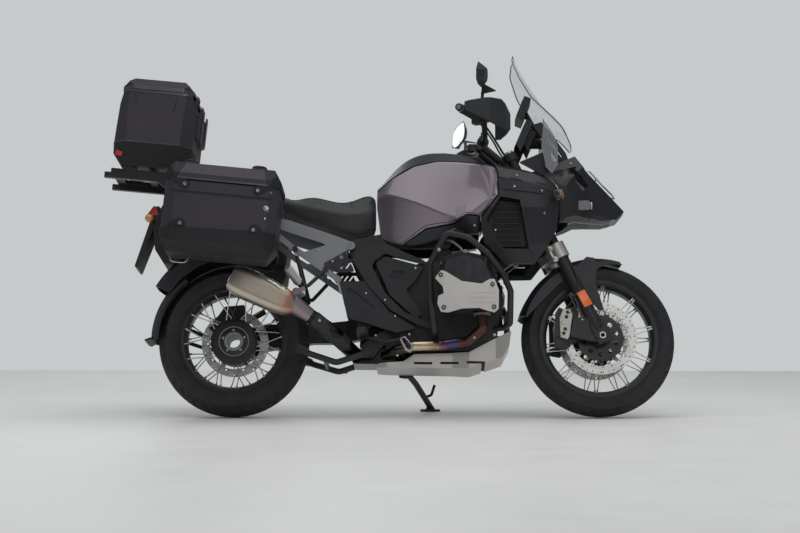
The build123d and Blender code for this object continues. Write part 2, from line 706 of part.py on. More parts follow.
def front_arm():
    """Longitudinal fork arm: a forked lever from the engine to the ball joint, and its spring strut."""
    ball = steer_axis_at(BALL_ALONG)
    plan = plan_prism(
        [(1080, -104), (1110, -108), (ball.X - 40, -30), (ball.X, -24), (ball.X, 24), (ball.X - 40, 30),
         (1110, 108), (1080, 104)],
        560, 760,
    )
    plan -= plan_prism([(1060, -78), (1120, -74), (1216, -20), (1216, 20), (1120, 74), (1060, 78)], 500, 800)
    blade = side_prism(
        [(1070, 596), (1104, 588), (ball.X - 60, ball.Z - 2), (ball.X, ball.Z + 12), (ball.X, ball.Z + 34),
         (1100, 640), (1070, 636)],
        -120, 120,
    )
    arm = plan & blade
    arm += rod(ball - STEER_DIRECTION * 10, ball + STEER_DIRECTION * 23, 31)
    arm -= rod(ball - STEER_DIRECTION * 60, ball + STEER_DIRECTION * 18.5, 18.5)
    arm -= rod(steer_axis_at(BRIDGE_ALONG), ball - STEER_DIRECTION * 10, 60)
    for side in SIDES:
        arm += Pos(1086, side * 91, 614) * Rot(90, 0, 0) * Cylinder(24, 34)
    strut = rod((1176, 0, 700), (1112, 0, 862), 30)
    strut += [rod((1188, 0, 650), (1176, 0, 700), 12), rod((1112, 0, 862), (1070, 0, 968), 13)]
    strut += Pos(1188, 0, 656) * Rot(90, 0, 0) * Cylinder(14, 76)
    return arm + strut


def swing_arm():
    """Single-sided swing arm on the left with the final drive round the hub, and the rear brake caliper."""
    housing = ring([
        (DRIVE_INNER_Y, 58), (DRIVE_INNER_Y + 12, 84), (94, 92), (114, 84), (124, 60),
        (124, SPINDLE_RADIUS + 0.5), (DRIVE_INNER_Y, SPINDLE_RADIUS + 0.5),
    ])
    housing = Pos(0, 0, REAR_RADIUS) * housing
    arm_side = [
        (40, 246), (130, 300), (330, 330), (470, 330), (600, 352), (612, 400), (592, 440), (470, 424),
        (330, 414), (130, 412), (30, 396),
    ]
    arm_plan = plan_prism(
        [(20, 96), (90, 98), (400, 98), (470, 84), (540, 44), (612, 44), (612, 92), (560, 96), (450, 146),
         (90, 150), (20, 126)],
        200, 500, 8,
    )
    arm = side_prism(arm_side, 30, 170, 12) & arm_plan
    arm -= Pos(0, 0, REAR_RADIUS) * Rot(90, 0, 0) * Cylinder(SPINDLE_RADIUS + 0.5, 400)
    shape = housing + arm
    shape += rod((10, 112, 408), (120, 112, 470), 13)
    caliper = side_prism(
        [(-112, 380), (-46, 476), (38, 484), (48, 436), (-20, 414), (-84, 362)],
        REAR_DISC_Y - 15, REAR_DISC_Y + 34, 6,
    )
    caliper -= Pos(0, REAR_DISC_Y + 2.5, REAR_RADIUS) * Rot(90, 0, 0) * Cylinder(148, 15)
    caliper -= Pos(0, REAR_DISC_Y - 10, REAR_RADIUS) * Rot(90, 0, 0) * Cylinder(93, 40)
    bracket = side_prism([(-40, 384), (20, 384), (30, 440), (-36, 430)], REAR_DISC_Y + 20, 100, 6)
    return shape + [caliper, bracket]


def rear_mudguard():
    """Spray guard close behind the rear tyre, on two struts from the final drive."""
    centre = (0, 0, REAR_RADIUS)
    guard = arch(centre, REAR_RADIUS + 22, 5, 98, 30, 128, 180)
    lip = side_prism([(-334, 326), (-348, 326), (-372, 316), (-360, 312)], -84, 84)
    guard += lip
    for z_from, z_to in ((352, 438), (300, 372)):
        guard += tube([(-60, 108, z_from), (-130, 114, z_from + 8), (-325, 102, z_to)], 60, 8)
        guard += rod((-325, 102, z_to), (-334, 80, z_to), 8)
    return guard


# ---------------------------------------------------------------- tank and bodywork
# station x, then (z, half width) of the belly, the crease, the shoulder and the top edge
TANK_ROWS = (
    (604, (742, 104), (900, 138), (944, 118), (968, 58)),
    (664, (716, 126), (914, 178), (990, 146), (1030, 72)),
    (744, (700, 150), (884, 212), (1036, 160), (1096, 78)),
    (834, (716, 168), (842, 236), (1056, 172), (1119, 82)),
    (924, (736, 188), (806, 248), (1056, 180), (1116, 84)),
    (1014, (744, 190), (836, 250), (1046, 186), (1100, 84)),
    (1114, (752, 186), (888, 244), (1026, 190), (1072, 84)),
)


def tank_envelope():
    sections = []
    for x, *half in TANK_ROWS:
        sections.append(outline(mirrored([(w, z) for z, w in half]), lambda y, z, x=x: (x, y, z), 16))
    return loft(sections)


def steering_well():
    """Round space about the steering axis that the body leaves free, so that the fork reaches both locks."""
    return rod(steer_point(730), steer_point(1150), FORK_SWEEP)


TANK_PAINT = [  # the painted panel's edge, from the seat forward along the bottom and back along the top
    (596, 930), (622, 728), (706, 706), (810, 771), (930, 786), (978, 820), (1040, 818), (1109, 906),
    (1107, 1010), (1084, 1052), (1040, 1052), (860, 1060), (760, 1040), (668, 990),
]
TANK_TOP = [(590, 936), (664, 996), (756, 1045), (858, 1065), (1040, 1057), (1086, 1057), (1040, 1140), (700, 1140)]
TANK_BOTTOM = [
    (640, 700), (704, 701), (812, 765), (932, 780), (980, 814), (1038, 812), (1026, 752), (900, 736), (760, 696),
]


def fuel_tank(envelope, well):
    tank = envelope & side_prism(TANK_PAINT, -300, 300)
    groove = side_prism([(934, 800), (974, 824), (978, 1012), (936, 1018)], 236, 300)
    tank -= [groove, mirror(groove, about=Plane.XZ)]
    tunnel = side_prism(
        [(560, 600), (560, 796), (866, 796), (1006, 1006), (1066, 1044), (1200, 1044), (1200, 600)], -112, 112
    )
    return tank - well - tunnel


def tank_trims(envelope, well):
    """Black top cover with the filler cap, and the black trims below the painted panels."""
    top = envelope & side_prism(TANK_TOP, -300, 300)
    cap = Pos(880, 0, 1108) * Cylinder(46, 34)
    ring_cut = Pos(880, 0, 1112) * (Cylinder(52, 40) - Cylinder(46.5, 40))
    top = top - ring_cut + cap
    low = envelope & side_prism(TANK_BOTTOM, -300, 300)
    low -= box_between((560, -150, 600), (1200, 150, 1000))
    return Compound([*(top - well).solids(), *(low - well).solids()])


# station x, then (z, half width) from the bottom edge to the top
SHROUD_ROWS = (
    (1040, (600, 176), (700, 218), (850, 246), (1000, 236), (1058, 190), (1084, 120)),
    (1200, (600, 182), (700, 222), (850, 247), (964, 240), (1014, 204), (1044, 130)),
    (1336, (600, 158), (700, 198), (850, 226), (926, 216), (970, 184), (996, 120)),
    (1380, (600, 126), (700, 164), (850, 190), (900, 182), (936, 150), (958, 96)),
)
SHROUD_EDGE = [
    (1120, 1054), (1231, 1026), (1312, 997), (1346, 972), (1366, 940), (1364, 846), (1356, 764), (1318, 694),
    (1262, 620), (1142, 618), (1052, 708), (1036, 790), (1046, 812), (1115, 904), (1113, 1010), (1092, 1054),
]
SHROUD_OUTLET = [(1120, 896), (1204, 880), (1244, 678), (1134, 680), (1060, 800)]


def shroud_envelope(inset=0.0):
    sections = []
    for x, *half in SHROUD_ROWS:
        corners = [(w - inset, z) for z, w in half]
        sections.append(outline(mirrored(corners), lambda y, z, x=x: (x, y, z), 14))
    return loft(sections)


def radiator_shrouds():
    """Side shells beside the radiators, each with an outlet and two raised deflector lips."""
    shell = shroud_envelope() - shroud_envelope(5)
    half = shell & side_prism(SHROUD_EDGE, 100, 300, 8)
    half -= side_prism(SHROUD_OUTLET, 100, 300, 10)
    lip = side_prism([(1200, 882), (1216, 884), (1262, 664), (1240, 664)], 205, 262, 4)
    lip &= shroud_envelope(-8)
    blade = side_prism([(1130, 940), (1290, 920), (1296, 908), (1132, 926)], 205, 262, 3)
    blade &= shroud_envelope(-7)
    half += [lip, blade]
    return both_sides(half - steering_well())


def radiators():
    """One cooler core behind each outlet, framed, with its fan ring."""
    core = side_prism([(1080, 690), (1226, 690), (1200, 880), (1116, 884), (1072, 800)], 176, 202, 8)
    frame = side_prism([(1066, 676), (1240, 676), (1212, 896), (1108, 900), (1058, 806)], 168, 186, 10)
    fins = [box_between((1094, 202, 712 + 24 * n), (1200, 206, 718 + 24 * n)) for n in range(7)]
    return both_sides(frame + [core, *fins])


NOSE_SIDE = [
    (1300, 1030), (1352, 1060), (1440, 1104), (1486, 1030), (1594, 926), (1648, 874), (1616, 836), (1552, 824),
    (1438, 836), (1370, 812), (1372, 940), (1346, 984),
]
NOSE_PLAN = [
    (1290, -186), (1400, -172), (1480, -118), (1600, -66), (1652, -40), (1652, 40), (1600, 66), (1480, 118),
    (1400, 172), (1290, 186),
]


def nose_fairing():
    """Beak: two cheeks that meet in a blade over the front wheel, with a recess for the headlamp."""
    nose = side_prism(NOSE_SIDE, -200, 200) & plan_prism(NOSE_PLAN, 700, 1200)
    roof = front_prism(mirrored([(210, 780), (200, 900), (150, 1010), (70, 1130)]), 1280, 1700)
    nose &= roof
    belly = side_prism([(1280, 1010), (1360, 1030), (1440, 1050), (1560, 900), (1500, 850), (1430, 858),
                        (1300, 780)], -160, 160)
    belly &= plan_prism([(1280, -168), (1400, -156), (1480, -104), (1570, -64), (1570, 64), (1480, 104),
                         (1400, 156), (1280, 168)], 700, 1200)
    nose -= belly
    lamp_well = side_prism([(1450, 1080), (1478, 1020), (1560, 944), (1620, 1000), (1500, 1120)], -62, 62)
    nose -= lamp_well
    vent = side_prism([(1404, 1030), (1440, 1036), (1494, 972), (1470, 944)], 60, 240, 6)
    nose -= [vent, mirror(vent, about=Plane.XZ)]
    return nose - steering_well()


def front_lamps():
    """Headlamp in the nose, a fog lamp below each cheek and a turn indicator beside each shroud."""
    head = side_prism([(1446, 1070), (1476, 1016), (1552, 944), (1524, 916), (1440, 990), (1420, 1050)], -58, 58, 4)
    fog = side_prism([(1424, 858), (1500, 862), (1504, 892), (1490, 902), (1426, 898)], 104, 138, 6)
    indicator = rod((1366, 200, 903), (1366, 252, 903), 10, 15)
    indicator += Pos(1366, 246, 903) * Sphere(22)
    pair = fog + indicator
    return Compound([*head.solids(), *both_sides(pair).solids()])


SCREEN_LINE = [(1188, 1546), (1206, 1500), (1251, 1422), (1307, 1338), (1384, 1258), (1410, 1226), (1432, 1160)]
SCREEN_THICK = 4.0


def screen_section(y, back):
    """Side outline of the screen at one distance from the centre plane, set back by its curve."""
    front = [(x - back, z) for x, z in SCREEN_LINE]
    behind = [(x - back - SCREEN_THICK, z - 1.5) for x, z in reversed(SCREEN_LINE)]
    return outline(front + behind, lambda x, z: (x, y, z))


def windscreen():
    """Clear screen, bowed across its width, and the two small side deflectors below it."""
    bowed = loft([screen_section(-200, 62), screen_section(0, 0), screen_section(200, 62)])
    edge = [(58, 1150), (104, 1200), (166, 1262), (186, 1340), (168, 1430), (128, 1516), (70, 1552)]
    screen = bowed & front_prism(mirrored(edge), 1050, 1500, 20)
    deflector = side_prism(
        [(1302, 1240), (1346, 1168), (1362, 1116), (1360, 1040), (1338, 1006), (1314, 1030), (1296, 1120)],
        190, 193.5, 10,
    )
    deflector = Pos(0, 0, 0) * deflector
    return Compound([*screen.solids(), *both_sides(deflector).solids()])


def screen_carrier():
    """Fixed cockpit frame: screen arms, display, navigation cradle, and the wire guard before the headlamp."""
    arm = side_prism(
        [(1262, 1244), (1300, 1258), (1330, 1222), (1404, 1120), (1420, 1070), (1386, 1052), (1340, 1060),
         (1290, 1056), (1300, 1110), (1320, 1160)],
        66, 76, 8,
    )
    arm -= side_prism([(1316, 1204), (1384, 1110), (1390, 1082), (1344, 1086), (1336, 1160)], 60, 90, 3)
    holder = rod((1334, 70, 1030), (1340, 70, 1100), 9)
    wing = side_prism([(1200, 1062), (1306, 1108), (1322, 1030), (1304, 1004)], 150, 154, 4)
    stay = rod((1330, 70, 1044), (1312, 190, 1040), 7)
    lug = rod((1342, 70, 1150), (1342, 190, 1100), 5)
    half = arm + [holder, wing, stay, lug]
    cross = [rod((1300, -72, 1180), (1300, 72, 1180), 9), rod((1392, -72, 1080), (1392, 72, 1080), 8)]
    foot = rod((1334, -80, 1040), (1334, 80, 1040), 9)
    shape = half + [mirror(half, about=Plane.XZ), *cross, foot]
    tilt = Plane(origin=(1222, 0, 1188), x_dir=(0, 1, 0), z_dir=(-0.92, 0, 0.39))
    display = tilt * Box(232, 142, 30)
    dish = tilt.offset(-24) * Box(150, 90, 34)
    shape += [display, dish, rod((1244, 0, 1180), (1302, 0, 1180), 22)]
    cradle_plane = Plane(origin=(1224, 0, 1320), x_dir=(0, 1, 0), z_dir=(-0.93, 0, 0.37))
    shape += cradle_plane * Box(146, 104, 30)
    shape += [rod((1236, -30, 1312), (1302, -30, 1190), 7), rod((1236, 30, 1312), (1302, 30, 1190), 7)]
    return shape - steering_well()


def lamp_guard():
    """Bent wire in front of the headlamp, hooked into the nose."""
    wire = tube([(1478, 50, 1030), (1500, 50, 1052), (1560, 46, 984), (1600, 30, 948), (1612, 0, 940)], 10, 3.5)
    cross = rod((1532, -48, 1016), (1532, 48, 1016), 3)
    return wire + mirror(wire, about=Plane.XZ) + cross


# station x, then half width and z at the underside, half width and z of the upper edge, crown z
SEAT_ROWS = (
    (196, (118, 868), (128, 914), (70, 946)),
    (300, (132, 826), (152, 880), (84, 920)),
    (412, (138, 786), (168, 850), (84, 906)),
    (490, (136, 764), (160, 842), (74, 908)),
    (548, (122, 758), (136, 850), (52, 938)),
    (592, (98, 786), (110, 866), (40, 928)),
)
PILLION_ROWS = (
    (-176, (110, 925), (122, 962), (74, 1000)),
    (-60, (118, 905), (140, 956), (84, 996)),
    (60, (118, 890), (140, 942), (84, 984)),
    (186, (112, 880), (124, 926), (68, 968)),
)


def padded_loft(rows, radius):
    sections = []
    for x, *half in rows:
        sections.append(outline(mirrored(half), lambda y, z, x=x: (x, y, z), radius))
    return loft(sections)


COVER_FRAME = [
    (513, 673), (590, 708), (651, 704), (805, 636), (808, 620), (700, 646), (640, 668), (594, 634), (586, 612),
    (640, 500), (720, 420), (872, 352), (868, 338), (775, 366), (665, 427), (573, 527), (507, 635),
]
COVER_PANEL = [(600, 628), (642, 656), (802, 612), (764, 552), (728, 514), (796, 414), (770, 392), (660, 492)]
COVER_LOWER = [(448, 551), (558, 551), (656, 424), (756, 362), (770, 350), (690, 334), (490, 396), (470, 452)]
COVER_VENT = [(396, 632), (478, 668), (512, 594), (432, 590)]


def side_covers():
    """Layered plastic covers over the frame: outer boomerang, inner panel, heel plate and vent panel."""
    shape = side_prism(COVER_FRAME, 158, 172, 6)
    panel = side_prism(COVER_PANEL, 148, 166, 8)
    panel -= side_prism([(672, 596), (724, 590), (700, 556), (660, 570)], 160, 180, 4)
    lower = side_prism(COVER_LOWER, 150, 164, 8)
    lower -= side_prism([(478, 520), (500, 520), (600, 440), (596, 424), (520, 424)], 158, 180, 5)
    vent = side_prism(COVER_VENT, 146, 156, 6)
    for n in range(3):
        x = 428 + 22 * n
        vent -= side_prism([(x, 606), (x + 8, 606), (x + 26, 632), (x + 18, 632)], 140, 170)
    lugs = [Pos(x, 136, z) * Rot(90, 0, 0) * Cylinder(9, 48) for x, z in ((586, 560), (560, 430))]
    vent_lug = rod((480, 140, 640), (520, 158, 640), 8)
    return both_sides(shape + [panel, lower, vent, vent_lug, *lugs])


def foot_pegs():
    """Rider's pegs, brake and gear pedals, and the pillion pegs on their stays."""
    made = []
    for side in SIDES:
        plate = side_prism([(530, 392), (572, 386), (566, 316), (540, 304), (526, 320)], 117, 128, 5)
        peg = box_between((526, 128, 318), (562, 262, 336))
        teeth = [box_between((526, 148 + 22 * n, 336), (562, 154 + 22 * n, 343)) for n in range(5)]
        pedal = tube([(556, 124, 322), (640, 150, 300), (700, 178, 302), (722, 192, 296)], 20, 6)
        pad = side_prism([(704, 300), (722, 306), (752, 268), (742, 250), (728, 258)], 184, 220, 4)
        pad -= side_prism([(714, 294), (722, 296), (740, 268), (734, 264)], 170, 220)
        rider = plate + [peg, *teeth, pedal, pad]
        stay = tube([(262, 150, 690), (306, 176, 516), (392, 150, 604)], 14, 8)
        stay += [rod((262, 140, 692), (262, 160, 692), 11), rod((392, 140, 606), (392, 160, 606), 11)]
        hinge = rod((300, 176, 520), (284, 200, 536), 13)
        pillion = rod((284, 196, 536), (238, 268, 590), 15) + hinge
        both = rider + [stay, pillion]
        made.append(both if side == LEFT else mirror(both, about=Plane.XZ))
    return Compound([s for p in made for s in p.solids()])


# ---------------------------------------------------------------- tail, rack and cases
def tail_unit():
    """Inner rear arch under the seat, tail lamp, plate holder and two indicators."""
    inner = arch((0, 0, REAR_RADIUS + 40), REAR_RADIUS + 60, 5, 92, 70, 62, 150)
    inner &= side_prism([(240, 640), (200, 790), (60, 800), (-120, 860), (-340, 870), (-352, 560), (-300, 500),
                         (-200, 560), (60, 640)], -120, 120)
    tail = side_prism([(-350, 830), (-300, 900), (-180, 925), (-100, 840), (-142, 706), (-250, 642), (-296, 640),
                       (-334, 700)], -90, 90, 8)
    lamp = side_prism([(-372, 852), (-346, 888), (-318, 890), (-340, 836)], -80, 80, 4)
    holder = side_prism(
        [(-330, 830), (-342, 838), (-358, 826), (-420, 630), (-408, 624), (-380, 700)], -84, 84, 3
    )
    for side in SIDES:
        tail += rod((-340, side * 80, 822), (-352, side * 138, 820), 7)
        tail += rod((-352, side * 134, 820), (-352, side * 172, 820), 13, 16)
    return tail + [inner, lamp, holder]


RACK_LIFT = 5.4  # the rack and the top case slope down to the front, degrees
TOP_CASE_PLACE = Location((-352, 0, 1046), (0, RACK_LIFT, 0))


def luggage_rack():
    """Carrier plate under the top case and the hoops that hold the side cases."""
    plate = box_between((-170, -130, -34), (160, 130, -16))
    plate -= box_between((-130, -90, -40), (-20, 90, 0))
    plate -= box_between((10, -90, -40), (130, 90, 0))
    rails = [box_between((-196, y - 12, -58), (150, y + 12, -34)) for y in (-118, 118)]
    plate = TOP_CASE_PLACE * (plate + rails)
    shape = plate
    for side in SIDES:
        shape += tube([(-150, side * 135, 862), (-250, side * 128, 940), (-330, side * 118, 1000)], 40, 12)
        shape += tube(
            [(96, side * 135, 826), (84, side * 162, 880), (-40, side * 162, 990), (-200, side * 120, 1002)],
            30, 10,
        )
        hoop = tube(
            [(-120, side * 140, 850), (-140, side * 206, 850), (-150, side * 206, 700), (60, side * 206, 690),
             (110, side * 206, 760), (110, side * 140, 790)],
            24, 8,
        )
        shape += hoop
    return shape


SIDE_CASE_TILT = 5.6
CASE_INNER_Y = 226.0
CASE_OUTER_Y = 486.0
CASE_LENGTH = 470.0
CASE_BODY_HEIGHT = 296.0
CASE_WALL = 4.0
LID_GAP = 1.0
SIDE_CASE_PLACE = Location((-46, 0, 604), (0, SIDE_CASE_TILT, 0))


def case_section(inset=0.0, low=0.0, high=CASE_BODY_HEIGHT):
    """Cross outline in (y, z) of a side case, its inner lower corner cut back beside the silencer."""
    return [
        (CASE_INNER_Y + inset, high), (CASE_INNER_Y + inset, 96 + low), (CASE_INNER_Y + 78 + inset * 0.4, low),
        (CASE_OUTER_Y - 34 - inset * 0.4, low), (CASE_OUTER_Y - inset, 46 + low), (CASE_OUTER_Y - inset, high),
    ]


def case_plan(inset=0.0):
    half = CASE_LENGTH / 2 - inset
    inner = CASE_INNER_Y + inset
    outer = CASE_OUTER_Y - inset
    return [
        (-half, inner), (half, inner), (half, outer - 42), (half - 42, outer), (-half + 42, outer),
        (-half, outer - 42),
    ]


def side_case_body():
    """Open box of a side case in its own frame: floor at z 0, open at the top."""
    half = CASE_LENGTH / 2
    outer = front_prism(case_section(), -half, half, 8)
    outer &= plan_prism(case_plan(), -10, CASE_BODY_HEIGHT + 10, 14)
    outer &= side_prism(
        [(-half, CASE_BODY_HEIGHT), (-half, 62), (-half + 34, 0), (half - 34, 0), (half, 62),
         (half, CASE_BODY_HEIGHT)],
        0, 600, 10,
    )
    room = front_prism(case_section(CASE_WALL, CASE_WALL, CASE_BODY_HEIGHT + 20), -half + CASE_WALL,
                       half - CASE_WALL)
    room &= plan_prism(case_plan(CASE_WALL), -10, CASE_BODY_HEIGHT + 40, 10)
    room &= side_prism(
        [(-half + CASE_WALL, CASE_BODY_HEIGHT + 20), (-half + CASE_WALL, 64), (-half + 36, CASE_WALL),
         (half - 36, CASE_WALL), (half - CASE_WALL, 64), (half - CASE_WALL, CASE_BODY_HEIGHT + 20)],
        0, 600,
    )
    hanger = [box_between((x - 22, CASE_INNER_Y - 12, 120), (x + 22, CASE_INNER_Y + 1, 220)) for x in (-90, 90)]
    return outer - room + hanger


def side_case_lid():
    """Lid of a side case: a shallow tray turned over, its top edges chamfered, with two lashing eyes."""
    base = CASE_BODY_HEIGHT + LID_GAP
    height = 78.0
    half = CASE_LENGTH / 2 + 3
    outer = plan_prism(
        [(x * 1.012, y + (3 if y > 350 else -3)) for x, y in case_plan()], base, base + height, 14
    )
    outer &= side_prism(
        [(-half - 2, base), (half + 2, base), (half + 2, base + 20), (half - 34, base + height),
         (-half + 34, base + height), (-half - 2, base + 20)],
        0, 600,
    )
    outer &= front_prism(
        [(CASE_INNER_Y - 4, base), (CASE_OUTER_Y + 4, base), (CASE_OUTER_Y + 4, base + 24),
         (CASE_OUTER_Y - 46, base + height), (CASE_INNER_Y + 10, base + height), (CASE_INNER_Y - 4, base + 50)],
        -half - 5, half + 5,
    )
    wall = CASE_WALL
    room = plan_prism(case_plan(wall), base - 10, base + height - wall, 10)
    room &= side_prism(
        [(-half + wall, base - 5), (half - wall, base - 5), (half - wall, base + 18),
         (half - 38, base + height - wall), (-half + 38, base + height - wall), (-half + wall, base + 18)],
        0, 600,
    )
    room &= front_prism(
        [(CASE_INNER_Y + wall, base - 5), (CASE_OUTER_Y - wall, base - 5), (CASE_OUTER_Y - wall, base + 20),
         (CASE_OUTER_Y - 52, base + height - wall), (CASE_INNER_Y + 16, base + height - wall),
         (CASE_INNER_Y + wall, base + 46)],
        -half, half,
    )
    lid = outer - room
    for x in (-140, 140):
        for y in (CASE_INNER_Y + 40, CASE_OUTER_Y - 60):
            lid += box_between((x - 24, y - 9, base + height - 1), (x + 24, y + 9, base + height + 9))
    return lid


TOP_LENGTH = 338.0
TOP_HALF_WIDTH = 208.0
TOP_BODY_HEIGHT = 318.0
TOP_WALL = 4.0
TOP_HINGE = (TOP_LENGTH / 2 - 12, 0, TOP_BODY_HEIGHT + LID_GAP + 5)
TOP_HINGE_PIN = 3.0


def top_plan(inset=0.0):
    half = TOP_LENGTH / 2 - inset
    wide = TOP_HALF_WIDTH - inset
    return [
        (-half, -wide + 60), (-half + 54, -wide), (half - 54, -wide), (half, -wide + 60), (half, wide - 60),
        (half - 54, wide), (-half + 54, wide), (-half, wide - 60),
    ]


def top_case_side(half, low, high):
    return [
        (-half + 22, high), (-half + 8, high - 60), (-half, 96), (-half + 6, 40), (-half + 40, low),
        (half - 40, low), (half - 12, 40), (half - 4, 96), (half - 4, high - 60), (half - 26, high),
    ]


def top_case_body():
    """Open box of the top case in its own frame: floor at z 0, open at the top."""
    half = TOP_LENGTH / 2
    outer = plan_prism(top_plan(), -30, TOP_BODY_HEIGHT + 10, 12)
    outer &= side_prism(top_case_side(half, 0, TOP_BODY_HEIGHT), -300, 300)
    outer &= front_prism(
        mirrored([(TOP_HALF_WIDTH - 60, 0), (TOP_HALF_WIDTH - 14, 40), (TOP_HALF_WIDTH, 92),
                  (TOP_HALF_WIDTH - 8, TOP_BODY_HEIGHT)]), -300, 300
    )
    room = plan_prism(top_plan(TOP_WALL), -30, TOP_BODY_HEIGHT + 40, 8)
    room &= side_prism(top_case_side(half - TOP_WALL, TOP_WALL, TOP_BODY_HEIGHT + 30), -300, 300)
    room &= front_prism(
        mirrored([(TOP_HALF_WIDTH - 62, TOP_WALL), (TOP_HALF_WIDTH - 18, 42), (TOP_HALF_WIDTH - TOP_WALL, 94),
                  (TOP_HALF_WIDTH - 13, TOP_BODY_HEIGHT + 30)]), -300, 300
    )
    body = outer - room
    feet = [box_between((x - 26, y - 30, -16), (x + 26, y + 30, 1)) for x in (-96, 110) for y in (-100, 100)]
    pad = side_prism([(half - 6, 150), (half + 14, 152), (half + 12, 262), (half - 6, 262)], -110, 110, 3)
    body += [*feet, pad]
    hinge_x, _, hinge_z = TOP_HINGE
    for side in SIDES:
        for y in (63, 117):
            ear = side_prism(
                [(half - 30, 286), (half - 12, 280), (hinge_x + 7, hinge_z - 2), (hinge_x + 3, hinge_z + 4.5),
                 (hinge_x - 3.5, hinge_z + 4.5), (hinge_x - 3.5, hinge_z - 8)],
                side * y - 5, side * y + 5,
            )
            body += ear
        body += rod((hinge_x, side * 58, hinge_z), (hinge_x, side * 122, hinge_z), TOP_HINGE_PIN)
    return body


def top_case_lid():
    """Lid of the top case: chamfered cap with a rim, hinged at the front."""
    base = TOP_BODY_HEIGHT + LID_GAP
    half = TOP_LENGTH / 2
    height = 56.0
    outer = plan_prism([(x * 1.0, y * 1.0) for x, y in top_plan(8)], base, base + height, 12)
    outer &= side_prism(
        [(-half + 14, base), (half - 18, base), (half - 18, base + 12), (half - 62, base + height),
         (-half + 60, base + height), (-half + 14, base + 18)],
        -300, 300,
    )
    outer &= front_prism(
        mirrored([(TOP_HALF_WIDTH - 6, base), (TOP_HALF_WIDTH - 6, base + 14), (TOP_HALF_WIDTH - 50, base + height)]),
        -300, 300,
    )
    room = plan_prism(top_plan(14), base - 10, base + height - TOP_WALL, 8)
    room &= side_prism(
        [(-half + 24, base - 5), (half - 28, base - 5), (half - 28, base + 10), (half - 66, base + height - TOP_WALL),
         (-half + 66, base + height - TOP_WALL), (-half + 24, base + 14)],
        -300, 300,
    )
    room &= front_prism(
        mirrored([(TOP_HALF_WIDTH - 14, base - 5), (TOP_HALF_WIDTH - 14, base + 10),
                  (TOP_HALF_WIDTH - 54, base + height - TOP_WALL)]), -300, 300
    )
    lid = outer - room
    hinge_x, _, hinge_z = TOP_HINGE
    for y in (-90, 90):
        lid += rod((hinge_x, y - 20, hinge_z), (hinge_x, y + 20, hinge_z), 6.5)
        lid += box_between((hinge_x - 12, y - 20, hinge_z - 3), (hinge_x, y + 20, hinge_z + 6.5))
        lid -= rod((hinge_x, y - 30, hinge_z), (hinge_x, y + 30, hinge_z), TOP_HINGE_PIN + PIN_CLEARANCE)
    return lid


# ---------------------------------------------------------------- stands
STAND_PIVOT = Vector(722, 152, 216)
STAND_FOLDED = Vector(-0.928, 0.338, 0.156)  # the leg's direction when folded up
STAND_FOOT_X = 826.0
STAND_FOOT_Y = 416.0
PIN_RADIUS = 7.0


def ground_at(x, y):
    """Point of the ground in the upright machine's frame, where the leaned machine stands on it."""
    lean = math.radians(LEAN)
    return Vector(x, y, (y * math.sin(lean) - SINK) / math.cos(lean))


def ground_up():
    lean = math.radians(LEAN)
    return Vector(0, -math.sin(lean), math.cos(lean))


def stand_axis():
    """Axis that the side stand swings about, square to the leg both as it stands and folded."""
    leg = ground_at(STAND_FOOT_X, STAND_FOOT_Y) - STAND_PIVOT
    return leg.cross(STAND_FOLDED).normalized()


def stand_swing():
    """Degrees from the stand as it carries the machine to the stand folded up."""
    return STAND_FOLDED.get_angle(ground_at(STAND_FOOT_X, STAND_FOOT_Y) - STAND_PIVOT)


def side_stand():
    """Side stand swung out: leg with a bend, tang for the boot, and a foot flat on the ground."""
    foot = ground_at(STAND_FOOT_X, STAND_FOOT_Y)
    up = ground_up()
    ankle = foot + up * 20
    reach = ankle - STAND_PIVOT
    knee = STAND_PIVOT + reach * 0.4 + up * 10
    leg = tube([STAND_PIVOT + reach * 0.03, knee, ankle], 90, 13)
    axis = stand_axis()
    head = rod(STAND_PIVOT - axis * 14, STAND_PIVOT + axis * 14, 18)
    tang_root = knee + (ankle - knee) * 0.6
    tang = tube([tang_root, tang_root + Vector(30, 4, 12), tang_root + Vector(44, 8, 56)], 12, 6)
    plane = Plane(origin=foot, x_dir=(1, 0, 0), z_dir=up)
    pad = plane * extrude(Ellipse(44, 32), amount=9)
    neck = plane.offset(8) * Cone(22, 15, 14, align=(Align.CENTER, Align.CENTER, Align.MIN))
    eye = rod(STAND_PIVOT - axis * 30, STAND_PIVOT + axis * 30, PIN_RADIUS + PIN_CLEARANCE)
    return leg + [head, tang, pad, neck] - eye


CENTRE_PIVOT = Vector(566, 0, 254)
CENTRE_SWING = 94.0  # degrees from folded to standing


def centre_stand():
    """Centre stand folded up behind the tray: two legs, a cross tube and a boot lever."""
    px = CENTRE_PIVOT.X
    pz = CENTRE_PIVOT.Z
    leg = tube([(px, 128, pz), (px - 128, 134, 212), (px - 236, 150, 246), (px - 270, 156, 262)], 40, 13)
    foot = side_prism([(px - 298, 250), (px - 250, 240), (px - 240, 266), (px - 284, 286)], 140, 180, 5)
    head = rod((px, 118, pz), (px, 146, pz), 20)
    half = leg + [foot, head]
    half -= rod((px, 100, pz), (px, 160, pz), PIN_RADIUS + PIN_CLEARANCE)
    shape = half + mirror(half, about=Plane.XZ)
    shape += rod((px - 176, -142, 228), (px - 176, 142, 228), 10)
    lever = tube([(px - 190, 146, 232), (px - 160, 192, 222), (px - 96, 204, 222)], 20, 7)
    return shape + lever


